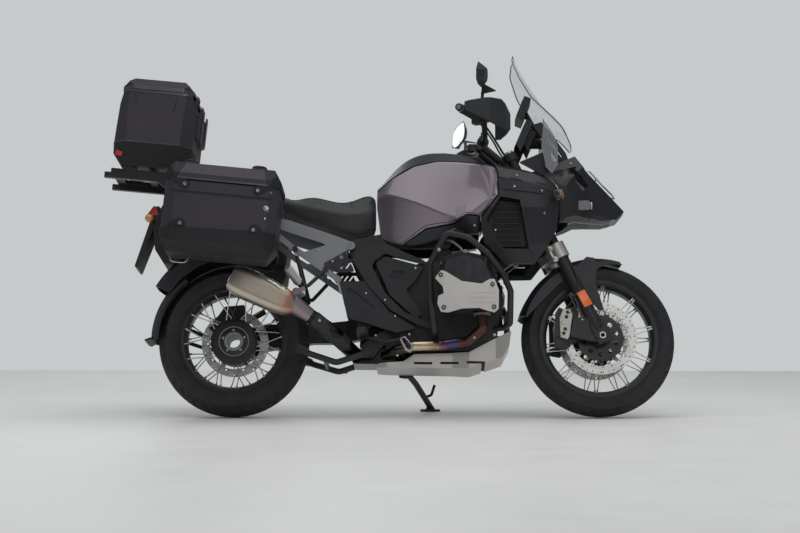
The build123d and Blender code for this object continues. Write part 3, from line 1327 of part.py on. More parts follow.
def stand_brackets():
    """Lugs under the gearbox that carry both stands' pins."""
    px = CENTRE_PIVOT.X
    pz = CENTRE_PIVOT.Z
    lug = side_prism([(px - 20, pz - 18), (px + 22, pz - 18), (px + 104, 330), (px + 60, 350), (px - 24, 290)],
                     100, 112, 6)
    bar = rod((px + 80, 90, 326), (px + 80, 112, 326), 15)
    pin = rod((px, 104, pz), (px, 149, pz), PIN_RADIUS)
    half = lug + [bar, pin]
    axis = stand_axis()
    inward = Vector(0, -1, 0) - axis * Vector(0, -1, 0).dot(axis)
    ear_plane = Plane(origin=STAND_PIVOT, x_dir=inward, z_dir=axis)
    ear = make_hull((Circle(17) + Pos(34, 0) * Circle(15)).edges())
    ears = [ear_plane.offset(low) * extrude(ear, amount=6.5) for low in (-26, 19.5)]
    seat = box_between((656, 121.5, 100), (796, 200, 330))
    web = side_prism([(694, 184), (754, 184), (758, 290), (690, 290)], 121, 128, 6)
    pin_out = rod(STAND_PIVOT - axis * 26, STAND_PIVOT + axis * 26, PIN_RADIUS)
    return [half, mirror(half, about=Plane.XZ), web, *[e & seat for e in ears], pin_out]


# ---------------------------------------------------------------- assembly
def wheel_at(shape, x, radius):
    return Pos(x, 0, radius) * shape


# piece, then the pieces that it is cut back to, so that each seats on what carries it
SEATS = (
    ("front_arm", ("crankcase", "main_frame")),
    ("crankcase", ("main_frame",)),
    ("head_guards", ("cylinders",)),
    ("crash_bars", ("crankcase", "cylinders")),
    ("exhaust_pipes", ("cylinders", "crankcase")),
    ("rear_frame", ("main_frame",)),
    ("foot_pegs", ("rear_frame", "main_frame", "crankcase")),
    ("muffler", ("foot_pegs",)),
    ("swing_arm", ("main_frame",)),
    ("rear_mudguard", ("swing_arm",)),
    ("nose_fairing", ("front_lamps",)),
    ("front_lamps", ("radiator_shrouds",)),
    ("screen_carrier", ("nose_fairing", "windscreen", "front_lamps")),
    ("lamp_guard", ("nose_fairing",)),
    ("side_covers", ("main_frame", "rear_frame")),
    ("tail_unit", ("rear_frame",)),
    ("luggage_rack", ("rear_frame", "tail_unit")),
    ("hand_guards", ("handlebar",)),
    ("mirrors", ("handlebar",)),
    ("bar_clamps", ("fork_tubes",)),
    ("handlebar", ("bar_clamps",)),
)
CHIP = 900.0  # a cut's loose chips are smaller than this, in cubic millimetres


def build():
    """All nodes in the part's own frame, by name."""
    front_rim, front_tyre = front_wheel()
    rear_rim, rear_tyre = rear_wheel()
    envelope = tank_envelope()
    well = steering_well()
    right_box = mirror(side_case_body(), about=Plane.XZ)
    left_lid = SIDE_CASE_PLACE * side_case_lid()

    fixed = {
        "crankcase": crankcase() + stand_brackets(),
        "cylinders": cylinders(),
        "head_guards": head_guards(),
        "crash_bars": crash_bars(),
        "skid_plate": skid_plate(),
        "exhaust_pipes": exhaust_pipes(),
        "muffler": muffler(),
        "main_frame": main_frame(),
        "rear_frame": rear_frame(),
        "front_arm": front_arm(),
        "swing_arm": swing_arm(),
        "rear_mudguard": rear_mudguard(),
        "fuel_tank": fuel_tank(envelope, well),
        "tank_trims": tank_trims(envelope, well),
        "radiator_shrouds": radiator_shrouds(),
        "radiators": radiators(),
        "nose_fairing": nose_fairing(),
        "front_lamps": front_lamps(),
        "windscreen": windscreen(),
        "screen_carrier": screen_carrier(),
        "lamp_guard": lamp_guard(),
        "rider_seat": padded_loft(SEAT_ROWS, 22),
        "pillion_seat": padded_loft(PILLION_ROWS, 20),
        "side_covers": side_covers(),
        "foot_pegs": foot_pegs(),
        "tail_unit": tail_unit(),
        "luggage_rack": luggage_rack(),
        "side_case_bodies": Compound([
            *(SIDE_CASE_PLACE * side_case_body()).solids(),
            *(SIDE_CASE_PLACE * right_box).solids(),
        ]),
        "left_case_lid": left_lid,
        "right_case_lid": mirror(left_lid, about=Plane.XZ),
        "top_case_body": TOP_CASE_PLACE * top_case_body(),
        "top_case_lid": TOP_CASE_PLACE * top_case_lid(),
        "side_stand": side_stand(),
        "centre_stand": centre_stand(),
        "rear_rim": wheel_at(rear_rim, 0, REAR_RADIUS),
        "rear_tyre": wheel_at(rear_tyre, 0, REAR_RADIUS),
        "rear_disc": wheel_at(rear_disc(), 0, REAR_RADIUS),
    }
    steered = {
        "fork_sliders": fork_sliders(),
        "fork_bridge": fork_bridge(),
        "fork_tubes": fork_tubes(),
        "bar_clamps": bar_clamps(),
        "front_axle": front_axle(),
        "front_calipers": front_calipers(),
        "front_mudguard": front_mudguard(),
        "handlebar": handlebar(),
        "hand_guards": hand_guards(),
        "mirrors": mirrors(),
        "front_rim": wheel_at(front_rim, WHEELBASE, FRONT_RADIUS),
        "front_tyre": wheel_at(front_tyre, WHEELBASE, FRONT_RADIUS),
        "front_discs": wheel_at(front_discs(), WHEELBASE, FRONT_RADIUS),
    }
    for name, carriers in SEATS:
        group = steered if name in steered else fixed
        for carrier in carriers:
            cut = group[name] - group[carrier]
            group[name] = Compound([s for s in cut.solids() if s.volume > CHIP])
    nodes = {name: parked(shape) for name, shape in fixed.items()}
    nodes.update({name: parked(turned(shape)) for name, shape in steered.items()})
    return nodes


def main():
    os.makedirs("parts", exist_ok=True)
    for name, shape in build().items():
        solids = shape.solids()
        export_step(solids[0] if len(solids) == 1 else Compound(solids), f"parts/{name}.step")


if __name__ == "__main__":
    main()
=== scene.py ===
"""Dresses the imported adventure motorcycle: finishes, small pieces, lights, floor and camera."""

import math

import bmesh
import bpy
from mathutils import Matrix, Vector
from mathutils.bvhtree import BVHTree


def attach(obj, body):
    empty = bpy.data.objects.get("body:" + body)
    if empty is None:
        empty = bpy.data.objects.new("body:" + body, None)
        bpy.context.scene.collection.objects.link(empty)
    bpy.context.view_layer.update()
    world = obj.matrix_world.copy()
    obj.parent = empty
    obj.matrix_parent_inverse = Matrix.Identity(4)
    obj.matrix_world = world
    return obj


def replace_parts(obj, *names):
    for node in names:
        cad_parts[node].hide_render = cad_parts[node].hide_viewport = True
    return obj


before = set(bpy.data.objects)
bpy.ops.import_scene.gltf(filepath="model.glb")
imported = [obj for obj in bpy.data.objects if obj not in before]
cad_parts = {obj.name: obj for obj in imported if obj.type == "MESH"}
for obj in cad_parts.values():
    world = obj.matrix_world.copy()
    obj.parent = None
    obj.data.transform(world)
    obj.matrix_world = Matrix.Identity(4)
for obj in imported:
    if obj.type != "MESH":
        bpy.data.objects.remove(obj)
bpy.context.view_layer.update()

# ---- camera
FOCAL_PX, IMAGE_WIDTH, SENSOR = 2265.8, 800.0, 36.0
scene = bpy.context.scene
cam_data = bpy.data.cameras.new("camera")
cam_data.sensor_width = SENSOR
cam_data.lens = FOCAL_PX / IMAGE_WIDTH * SENSOR
camera = bpy.data.objects.new("camera", cam_data)
scene.collection.objects.link(camera)
camera.location = (0.2143, -9.6938, 0.6347)
camera.rotation_euler = (math.radians(90.0), 0.0, math.radians(1.0))
scene.camera = camera

# ---- frames of reference
# pieces are drawn on the upright machine, in metres: x forward from the rear axle, y left, z up
LEAN, RAKE, PARKED_TURN = math.radians(11.0), math.radians(26.2), math.radians(6.0)
UPRIGHT = Matrix.Translation((-0.6525, -0.1941, 0.0017)) @ Matrix.Rotation(-LEAN, 4, "X")
HEAD_FOOT = Vector((1.6528, 0.0, 0.0))
HEAD_AXIS = Vector((-math.sin(RAKE), 0.0, math.cos(RAKE)))
STEERED = (UPRIGHT @ Matrix.Translation(HEAD_FOOT) @ Matrix.Rotation(PARKED_TURN, 4, HEAD_AXIS)
    @ Matrix.Translation(-HEAD_FOOT))
SIDES = (1.0, -1.0)
BESIDE = 700.0  # how far out the lines that look for a surface start
FRONT_AXLE, REAR_AXLE = (1534, 0, 325), (0, 0, 318)
FRONT_BEAD, REAR_BEAD = 241.5, 216.0  # the rims' radii where the tyres sit


def mm(*p):
    return Vector(p) * 0.001


# ---- materials
M = {}


def graph(name):
    """A new material, kept in M under its name, with its nodes, links and main shader."""
    M[name] = bpy.data.materials.new(name)
    M[name].use_nodes = True
    tree = M[name].node_tree
    return tree.nodes, tree.links, tree.nodes["Principled BSDF"]


def add_node(nodes, kind, operation=None, **values):
    """A node with numbers set on its sockets, which are named with _ for a space, or a1 for socket 1."""
    made = nodes.new("ShaderNode" + kind)
    if operation:
        made.operation = operation
    for key, value in values.items():
        socket = int(key[1:]) if key[1:].isdigit() else key.replace("_", " ")
        made.inputs[socket].default_value = value
    return made


def texture(nodes, links, kind, scale, detail=2.0, stretch=None):
    """A texture over the object's own coordinates."""
    source = add_node(nodes, "TexCoord").outputs["Object"]
    tex = add_node(nodes, kind, Scale=scale)
    if "Detail" in tex.inputs:
        tex.inputs["Detail"].default_value = detail
    if stretch:
        mapping = add_node(nodes, "Mapping", Scale=stretch)
        links.new(source, mapping.inputs["Vector"])
        source = mapping.outputs["Vector"]
    links.new(source, tex.inputs["Vector"])
    return tex


def ramp(nodes, links, source, stops):
    r = add_node(nodes, "ValToRGB")
    while len(r.color_ramp.elements) < len(stops):
        r.color_ramp.elements.new(0.5)
    for element, (place, colour) in zip(r.color_ramp.elements, stops):
        element.position = place
        element.color = (*colour, 1.0)
    links.new(source, r.inputs["Fac"])
    return r.outputs["Color"]


def levels(nodes, links, source, low, high):
    m = add_node(nodes, "MapRange", To_Min=low, To_Max=high)
    links.new(source, m.inputs["Value"])
    return m.outputs["Result"]


def shade(colour, by):
    return tuple(min(1.0, c * by) for c in colour)


GRAIN_DEPTH = 0.0006


def finish(name, colour, rough, metallic=0.0, vary=0.15, cloud=9.0, grain=0.0, grain_scale=1400.0,
        kind="noise", coat=0.0, coat_rough=0.05, stretch=None, specular=0.5, sheen=0.0):
    """A surface with clouded colour and roughness and a grain in its relief."""
    nodes, links, bsdf = graph(name)
    clouds = texture(nodes, links, "TexNoise", cloud, 4.0)
    base = ramp(nodes, links, clouds.outputs["Fac"], [(0.3, shade(colour, 1 - vary)),
        (0.7, shade(colour, 1 + vary))])
    links.new(base, bsdf.inputs["Base Color"])
    marks = texture(nodes, links, "TexNoise", cloud * 6, 6.0, stretch)
    links.new(levels(nodes, links, marks.outputs["Fac"], rough * 0.78, rough * 1.22),
        bsdf.inputs["Roughness"])
    if grain:
        source = {"noise": "TexNoise", "cells": "TexVoronoi"}[kind]
        tex = texture(nodes, links, source, grain_scale, 2.0, stretch)
        bump = add_node(nodes, "Bump", Strength=grain, Distance=GRAIN_DEPTH)
        links.new(tex.outputs["Distance" if kind == "cells" else "Fac"], bump.inputs["Height"])
        links.new(bump.outputs["Normal"], bsdf.inputs["Normal"])
    bsdf.inputs["Metallic"].default_value = metallic
    bsdf.inputs["Coat Weight"].default_value = coat
    bsdf.inputs["Coat Roughness"].default_value = coat_rough
    bsdf.inputs["Specular IOR Level"].default_value = specular
    bsdf.inputs["Sheen Weight"].default_value = sheen


finish("tank_paint", (0.20, 0.165, 0.195), 0.34, 0.72, 0.05, 3.0, 0.12, 5200.0, "cells", coat=1.0)
finish("gloss_trim", (0.017, 0.017, 0.021), 0.38, 0.0, 0.10, 5.0, 0.04, 2600.0, coat=0.12, coat_rough=0.2,
    specular=0.34)
finish("matte_trim", (0.021, 0.0215, 0.024), 0.50, 0.0, 0.16, 8.0, 0.35, 1900.0, "cells", specular=0.4)
finish("deep_plastic", (0.012, 0.012, 0.013), 0.6, 0.0, 0.2, 8.0, 0.3, 1700.0, "cells")
finish("case_panel", (0.046, 0.040, 0.050), 0.48, 0.35, 0.08, 4.0, 0.30, 2400.0)
finish("case_cap", (0.014, 0.014, 0.0155), 0.55, 0.0, 0.18, 8.0, 0.5, 1500.0, "cells", specular=0.35)
finish("case_rim", (0.13, 0.135, 0.14), 0.36, 0.8, 0.1, 10.0, 0.2, 1600.0, stretch=(1, 12, 12))
finish("bare_aluminium", (0.60, 0.575, 0.54), 0.42, 0.85, 0.06, 7.0, 0.25, 900.0, stretch=(1, 9, 9))
finish("frame_silver", (0.26, 0.265, 0.28), 0.40, 0.75, 0.06, 6.0, 0.12, 2400.0)
finish("frame_black", (0.022, 0.022, 0.024), 0.42, 0.2, 0.18, 9.0, 0.18, 2400.0)
finish("engine_black", (0.035, 0.035, 0.038), 0.50, 0.45, 0.2, 12.0, 0.45, 1500.0)
finish("bare_steel", (0.56, 0.55, 0.53), 0.30, 0.95, 0.1, 30.0, 0.15, 700.0, stretch=(8, 1, 8))
finish("bolt_steel", (0.46, 0.46, 0.46), 0.25, 0.95, 0.08, 80.0, 0.1, 900.0)
finish("tyre_rubber", (0.020, 0.0205, 0.022), 0.72, 0.0, 0.25, 14.0, 0.5, 900.0, specular=0.35)
finish("seat_cover", (0.027, 0.027, 0.029), 0.58, 0.0, 0.14, 8.0, 0.6, 620.0, "cells", sheen=0.15)
finish("soft_grip", (0.016, 0.016, 0.017), 0.75, 0.0, 0.2, 14.0, 0.6, 700.0, "cells")


def heat_tinted(name, stops, rough, axis, low, high):
    """Steel whose colour changes along one axis with the heat it has seen."""
    nodes, links, bsdf = graph(name)
    coords = add_node(nodes, "TexCoord")
    split = add_node(nodes, "SeparateXYZ")
    links.new(coords.outputs["Object"], split.inputs["Vector"])
    place = add_node(nodes, "MapRange", From_Min=low, From_Max=high)
    links.new(split.outputs[axis], place.inputs["Value"])
    clouds = texture(nodes, links, "TexNoise", 22.0, 4.0)
    shift = add_node(nodes, "Math", "MULTIPLY_ADD", a1=0.16)
    links.new(clouds.outputs["Fac"], shift.inputs[0])
    links.new(place.outputs["Result"], shift.inputs[2])
    links.new(ramp(nodes, links, shift.outputs["Value"], stops), bsdf.inputs["Base Color"])
    marks = texture(nodes, links, "TexNoise", 90.0, 6.0, (1, 8, 8))
    links.new(levels(nodes, links, marks.outputs["Fac"], rough * 0.8, rough * 1.3),
        bsdf.inputs["Roughness"])
    bsdf.inputs["Metallic"].default_value = 0.95


heat_tinted("header_steel", [(0.44, (0.030, 0.028, 0.028)), (0.54, (0.10, 0.08, 0.06)),
    (0.60, (0.66, 0.56, 0.40)), (0.70, (0.42, 0.26, 0.14)), (0.78, (0.12, 0.07, 0.12)),
    (0.84, (0.08, 0.08, 0.22)), (0.89, (0.13, 0.05, 0.04)), (1.0, (0.095, 0.045, 0.038))], 0.24, "X",
    -0.20, 0.42,)
heat_tinted("muffler_steel", [(0.1, (0.56, 0.50, 0.43)), (0.62, (0.58, 0.51, 0.42)),
    (0.80, (0.52, 0.40, 0.30)), (0.88, (0.46, 0.22, 0.16)), (0.96, (0.30, 0.26, 0.28))], 0.36, "X", -0.66,
    -0.34,)


def glass(name, colour, rough, alpha):
    """Clear or tinted sheet, faintly dusty."""
    nodes, links, bsdf = graph(name)
    dust = texture(nodes, links, "TexNoise", 26.0, 5.0)
    links.new(ramp(nodes, links, dust.outputs["Fac"], [(0.3, shade(colour, 0.92)), (0.75, colour)]),
        bsdf.inputs["Base Color"])
    links.new(levels(nodes, links, dust.outputs["Fac"], rough * 0.6, rough * 1.5),
        bsdf.inputs["Roughness"])
    links.new(levels(nodes, links, dust.outputs["Fac"], alpha * 0.9, min(1.0, alpha * 1.15)),
        bsdf.inputs["Alpha"])
    bsdf.inputs["IOR"].default_value = 1.49
    bsdf.inputs["Coat Weight"].default_value = 0.4


glass("clear_screen", (0.62, 0.64, 0.67), 0.06, 0.16)
glass("smoke_screen", (0.17, 0.18, 0.20), 0.08, 0.42)
glass("lamp_glass", (0.10, 0.105, 0.11), 0.08, 0.86)
finish("mirror_glass", (0.80, 0.82, 0.84), 0.03, 1.0, 0.02, 3.0, 0.02, 400.0)
finish("dark_glass", (0.010, 0.011, 0.013), 0.08, 0.0, 0.1, 3.0, 0.02, 400.0, coat=1.0)
finish("orange_lens", (0.80, 0.16, 0.03), 0.22, 0.0, 0.08, 30.0, 0.8, 420.0, "cells", coat=0.6)
finish("red_lens", (0.42, 0.02, 0.03), 0.20, 0.0, 0.1, 30.0, 0.8, 420.0, "cells", coat=0.6)
finish("amber_light", (0.60, 0.30, 0.08), 0.2, 0.2, 0.1, 30.0, 0.6, 420.0, "cells", coat=0.6)


def disc_finish(name, centre, axis, carrier):
    """Brake disc: ground steel outside, black carrier within."""
    nodes, links, bsdf = graph(name)
    coords = add_node(nodes, "TexCoord")
    away = add_node(nodes, "VectorMath", "SUBTRACT", a1=centre)
    across = add_node(nodes, "VectorMath", "CROSS_PRODUCT", a1=axis)
    long = add_node(nodes, "VectorMath", "LENGTH")
    links.new(coords.outputs["Object"], away.inputs[0])
    links.new(away.outputs["Vector"], across.inputs[0])
    links.new(across.outputs["Vector"], long.inputs[0])
    share = add_node(nodes, "MapRange", From_Min=carrier - 0.0006, From_Max=carrier + 0.0006)
    links.new(long.outputs["Value"], share.inputs["Value"])
    ring = add_node(nodes, "Math", "SINE")
    wave = add_node(nodes, "Math", "MULTIPLY", a1=5200.0)
    links.new(long.outputs["Value"], wave.inputs[0])
    links.new(wave.outputs["Value"], ring.inputs[0])
    links.new(levels(nodes, links, ring.outputs["Value"], 0.30, 0.40), bsdf.inputs["Roughness"])
    clouds = texture(nodes, links, "TexNoise", 30.0, 4.0)
    steel = ramp(nodes, links, clouds.outputs["Fac"], [(0.3, (0.56, 0.54, 0.52)),
        (0.7, (0.70, 0.68, 0.65))])
    black = ramp(nodes, links, clouds.outputs["Fac"], [(0.3, (0.016, 0.016, 0.018)),
        (0.7, (0.026, 0.026, 0.028))])
    mix = add_node(nodes, "Mix")
    mix.data_type = "RGBA"
    links.new(share.outputs["Result"], mix.inputs[0])
    links.new(black, mix.inputs[6])
    links.new(steel, mix.inputs[7])
    links.new(mix.outputs[2], bsdf.inputs["Base Color"])
    links.new(levels(nodes, links, share.outputs["Result"], 0.2, 0.92), bsdf.inputs["Metallic"])


disc_finish("front_disc_steel", STEERED @ mm(*FRONT_AXLE), (STEERED.to_3x3()
    @ Vector((0, 1, 0))).normalized(), 0.106)
disc_finish("rear_disc_steel", UPRIGHT @ mm(*REAR_AXLE), (UPRIGHT.to_3x3()
    @ Vector((0, 1, 0))).normalized(), 0.100)
finish("caliper_silver", (0.46, 0.44, 0.40), 0.38, 0.6, 0.06, 9.0, 0.2, 1400.0)
finish("polished_steel", (0.72, 0.70, 0.67), 0.16, 0.98, 0.05, 20.0, 0.08, 900.0)
finish("rubber_hose", (0.018, 0.018, 0.019), 0.55, 0.0, 0.2, 20.0, 0.4, 1600.0)

CAD_FINISH = {}
for look, nodes_of in (
    ("engine_black", "crankcase cylinders front_calipers"),
    ("bare_aluminium", "head_guards skid_plate fork_bridge"),
    ("frame_black", "crash_bars main_frame front_arm swing_arm foot_pegs luggage_rack fork_sliders "
     "fork_tubes bar_clamps handlebar front_rim rear_rim side_stand centre_stand"),
    ("header_steel", "exhaust_pipes"),
    ("muffler_steel", "muffler"),
    ("frame_silver", "rear_frame"),
    ("matte_trim", "rear_mudguard screen_carrier side_covers tail_unit hand_guards mirrors"),
    ("tank_paint", "fuel_tank"),
    ("gloss_trim", "tank_trims radiator_shrouds nose_fairing front_mudguard"),
    ("deep_plastic", "radiators"),
    ("lamp_glass", "front_lamps"),
    ("clear_screen", "windscreen"),
    ("bare_steel", "lamp_guard front_axle"),
    ("seat_cover", "rider_seat pillion_seat"),
    ("case_panel", "side_case_bodies top_case_body left_case_lid right_case_lid top_case_lid"),
    ("tyre_rubber", "front_tyre rear_tyre"),
    ("front_disc_steel", "front_discs"),
    ("rear_disc_steel", "rear_disc"),
):
    CAD_FINISH.update({node: look for node in nodes_of.split()})
for node, name in CAD_FINISH.items():
    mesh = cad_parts[node].data
    for n in range(len(mesh.materials)):
        mesh.materials[n] = M[name]
    if not mesh.materials:
        mesh.materials.append(M[name])


# ---- mesh tools
def meshes(count):
    return [bmesh.new() for _ in range(count)]


def smooth_line(points, steps=6, closed=False):
    """Points of a curve through the given ones."""
    pts = [Vector(p) for p in points]
    count = len(pts)
    out = []
    spans = count if closed else count - 1
    for i in range(spans):
        p1, p2 = pts[i], pts[(i + 1) % count]
        p0 = pts[i - 1] if (i or closed) else p1
        p3 = pts[(i + 2) % count] if (closed or i + 2 < count) else p2
        for k in range(steps):
            t = k / steps
            out.append(0.5 * (2 * p1 + (p2 - p0) * t + (2 * p0 - 5 * p1 + 4 * p2 - p3) * t**2
                + (3 * p1 - p0 - 3 * p2 + p3) * t**3))
    if not closed:
        out.append(pts[-1])
    return out


def add_tube(bm, points, radius, around=10, closed=False, squash=1.0):
    """Round or oval tube along a line. radius, in mm, may be a function of the share of its length."""
    rings = []
    count = len(points)
    side = None
    for i, p in enumerate(points):
        before = points[i - 1] if (i or closed) else p
        after = points[(i + 1) % count] if (i + 1 < count or closed) else p
        along = (after - before).normalized()
        if side is None:
            start = Vector((0, 0, 1) if abs(along.z) < 0.9 else (0, 1, 0))
            side = (start - along * start.dot(along)).normalized()
        side = (side - along * side.dot(along)).normalized()
        other = along.cross(side)
        r = 0.001 * (radius(i / max(1, count - 1)) if callable(radius) else radius)
        ring = []
        for k in range(around):
            a = 2 * math.pi * k / around
            ring.append(bm.verts.new(p + side * (r * math.cos(a)) + other * (r * squash * math.sin(a))))
        rings.append(ring)
    for i in range(count if closed else count - 1):
        a, b = rings[i], rings[(i + 1) % count]
        for k in range(around):
            bm.faces.new((a[k], a[(k + 1) % around], b[(k + 1) % around], b[k]))
    if not closed:
        bm.faces.new(list(reversed(rings[0])))
        bm.faces.new(rings[-1])


def add_lathe(bm, profile, origin, axis, around=20):
    """Turns (radius, distance along the axis) points, in millimetres, about the axis."""
    axis = Vector(axis).normalized()
    start = Vector((0, 0, 1) if abs(axis.z) < 0.9 else (1, 0, 0))
    u = (start - axis * start.dot(axis)).normalized()
    v = axis.cross(u)
    origin = Vector(origin)
    rings = []
    for r, h in profile:
        r, h = r * 0.001, h * 0.001
        if r < 1e-6:
            rings.append([bm.verts.new(origin + axis * h)])
            continue
        rings.append([bm.verts.new(origin + axis * h + (u * math.cos(2 * math.pi * k / around)
            + v * math.sin(2 * math.pi * k / around)) * r) for k in range(around)])
    for a, b in zip(rings, rings[1:]):
        for k in range(around):
            n = (k + 1) % around
            if len(a) == 1 and len(b) > 1:
                bm.faces.new((a[0], b[n], b[k]))
            elif len(b) == 1 and len(a) > 1:
                bm.faces.new((a[k], a[n], b[0]))
            elif len(a) > 1:
                bm.faces.new((a[k], a[n], b[n], b[k]))


def add_screw(bm, place, axis, radius):
    """Button-head screw with a socket in it, its radius in millimetres."""
    r = radius
    add_lathe(bm, [(0, 0.18 * r), (0.42 * r, 0.18 * r), (0.46 * r, 0.5 * r), (0.72 * r, 0.46 * r),
        (r, 0.1 * r), (r, -0.3 * r), (0, -0.3 * r)], place, axis, 14)


def add_plate(bm, outline, thickness, place, u, v, inset=0.0):
    """Flat plate from an outline of (u, v) points, its upper edge drawn in by inset, all in millimetres."""
    u, v = Vector(u).normalized(), Vector(v).normalized()
    n = u.cross(v)
    place = Vector(place)
    middle = Vector((sum(p[0] for p in outline) / len(outline),
        sum(p[1] for p in outline) / len(outline)))

    def ring(shift, lift):
        made = []
        for a, b in outline:
            d = Vector((a, b)) - middle
            d = d * (1 - shift / max(1e-9, d.length))
            made.append(bm.verts.new(place + (u * (middle.x + d.x) + v * (middle.y + d.y)
                + n * lift) * 0.001))
        return made

    rings = [ring(0, 0), ring(0, thickness - inset), ring(inset, thickness)] if inset else [ring(0, 0),
        ring(0, thickness)]
    for a, b in zip(rings, rings[1:]):
        for k in range(len(a)):
            bm.faces.new((a[k], a[(k + 1) % len(a)], b[(k + 1) % len(a)], b[k]))
    bm.faces.new(list(reversed(rings[0])))
    bm.faces.new(rings[-1])


def add_prism(bm, outline, y0, y1, inset=0.0):
    """Plate in the side plane between y0 and y1, both in millimetres, as the outline's (x, z) are."""
    low, high = sorted((y0, y1))
    if abs(y1) >= abs(y0) and y1 + y0 > 0:
        add_plate(bm, [(-x, z) for x, z in outline], high - low, mm(0, low, 0), (-1, 0, 0), (0, 0, 1),
            inset)
    else:
        add_plate(bm, outline, high - low, mm(0, high, 0), (1, 0, 0), (0, 0, 1), inset)


def piece(name, bm, material, body="chassis", base=UPRIGHT, crease=30.0, bevel=0.0, hides=()):
    """Makes the mesh an object of the scene that rides on a body and can stand for CAD nodes."""
    bmesh.ops.recalc_face_normals(bm, faces=bm.faces)
    mesh = bpy.data.meshes.new(name)
    bm.to_mesh(mesh)
    bm.free()
    mesh.transform(base)
    mesh.materials.append(M[material])
    mesh.shade_smooth()
    mesh.set_sharp_from_angle(angle=math.radians(crease))
    obj = bpy.data.objects.new(name, mesh)
    scene.collection.objects.link(obj)
    if bevel:
        mod = obj.modifiers.new("edges", "BEVEL")
        mod.width = bevel * 0.001
        mod.segments = 2
        mod.limit_method = "ANGLE"
        mod.angle_limit = math.radians(crease)
        mod.harden_normals = True
    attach(obj, body)
    if hides:
        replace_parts(obj, *hides)
    return obj


SLOTS = {name: name for name in ("tank_paint", "gloss_trim", "matte_trim", "case_panel", "bare_aluminium",
    "frame_silver", "frame_black", "engine_black", "bare_steel", "header_steel", "muffler_steel",
    "tyre_rubber", "seat_cover", "clear_screen", "lamp_glass",)}
SLOTS.update(deep_plastic="matte_trim", case_cap="matte_trim", case_rim="bare_aluminium",
    bolt_steel="bare_steel", soft_grip="matte_trim", smoke_screen="clear_screen",
    front_disc_steel="bare_steel", rear_disc_steel="bare_steel", caliper_silver="bare_aluminium",
    polished_steel="bare_steel", rubber_hose="matte_trim", mirror_glass="bare_steel",
    dark_glass="gloss_trim", orange_lens="lamp_glass", red_lens="lamp_glass", amber_light="lamp_glass")


# ---- tyres
def tyre_mesh(radius, bead, half_width, bead_half, drop, shoulder, grooves, depth=0.0065):
    """Tyre with a round crown, its tread cut by slanting grooves, and rings on the sidewall."""
    bm = bmesh.new()
    around = 288  # points round the tyre
    belly = bead + 0.42 * (radius - bead)
    wall = [(bead_half, bead), (bead_half + 1, bead + 7), (half_width - 7, bead + 20),
        (half_width - 1.5, belly - 6), (half_width, belly + 4), (half_width - 1.2, belly + 18),
        (half_width - 0.5, belly + 21)]
    crown = []
    for n in range(15):
        share = 1 - n / 14
        crown.append((shoulder * share, radius - drop * share**2))
    half = wall + crown
    full = half + [(-y, r) for y, r in reversed(half[:-1])]
    rings = []
    for k in range(around):
        a = 2 * math.pi * k / around
        turn = k / around
        ring = []
        for y, r in full:
            cut = 0.0
            edge = abs(y) / shoulder
            if r > belly + 22:
                phase = (turn * grooves + edge * 0.9 + (0.5 if y > 0 else 0.0)) % 1.0
                if phase < 0.13 and 0.16 < edge < 0.985:
                    cut = depth * 1000 * (1 if edge < 0.8 else 0.7)
                fine = (turn * grooves - edge * 0.55 + 0.3 + (0.5 if y > 0 else 0.0)) % 1.0
                if fine < 0.07 and 0.55 < edge < 0.97:
                    cut = max(cut, depth * 600)
            ring.append(bm.verts.new(mm((r - cut) * math.cos(a), y, (r - cut) * math.sin(a))))
        rings.append(ring)
    for k in range(around):
        a, b = rings[k], rings[(k + 1) % around]
        for n in range(len(full) - 1):
            bm.faces.new((a[n], a[n + 1], b[n + 1], b[n]))
        bm.faces.new((a[-1], a[0], b[0], b[-1]))
    return bm


bm = tyre_mesh(FRONT_AXLE[2], FRONT_BEAD, half_width=61.0, bead_half=41.0, drop=27.0, shoulder=50.0,
    grooves=36)
bmesh.ops.translate(bm, verts=bm.verts, vec=mm(*FRONT_AXLE))
piece("front_tyre_rubber", bm, "tyre_rubber", "front_wheel", STEERED, 50, hides=("front_tyre",))
bm = tyre_mesh(REAR_AXLE[2], REAR_BEAD, half_width=87.0, bead_half=61.0, drop=34.0, shoulder=74.0,
    grooves=34)
bmesh.ops.translate(bm, verts=bm.verts, vec=mm(*REAR_AXLE))
piece("rear_tyre_rubber", bm, "tyre_rubber", "rear_wheel", UPRIGHT, 50, hides=("rear_tyre",))


# ---- placing on the solids
CASE = UPRIGHT @ Matrix.Translation(mm(-46, 0, 604)) @ Matrix.Rotation(math.radians(5.6), 4, "Y")
TOP = UPRIGHT @ Matrix.Translation(mm(-352, 0, 1046)) @ Matrix.Rotation(math.radians(5.4), 4, "Y")
BODIES = {}
for body_name, nodes_of in (
    ("steering", "fork_sliders fork_bridge fork_tubes bar_clamps front_axle front_calipers "
     "front_mudguard handlebar hand_guards mirrors"),
    ("left_lid", "left_case_lid"), ("right_lid", "right_case_lid"), ("top_lid", "top_case_lid"),
):
    BODIES.update({n: body_name for n in nodes_of.split()})


def world_mesh(node):
    """A copy of a solid's mesh in the row frame, its seams welded."""
    bm = bmesh.new()
    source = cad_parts[node]
    bm.from_mesh(source.data)
    bmesh.ops.transform(bm, matrix=source.matrix_world, verts=bm.verts)
    bmesh.ops.remove_doubles(bm, verts=bm.verts, dist=2e-6)
    bmesh.ops.recalc_face_normals(bm, faces=bm.faces)
    return bm


def tree_of(*names):
    """Several solids as one surface that lines can be shot at."""
    whole = bmesh.new()
    for node in names:
        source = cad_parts[node]
        mesh = source.data.copy()
        mesh.transform(source.matrix_world)
        whole.from_mesh(mesh)
        bpy.data.meshes.remove(mesh)
    tree = BVHTree.FromBMesh(whole)
    whole.free()
    return tree


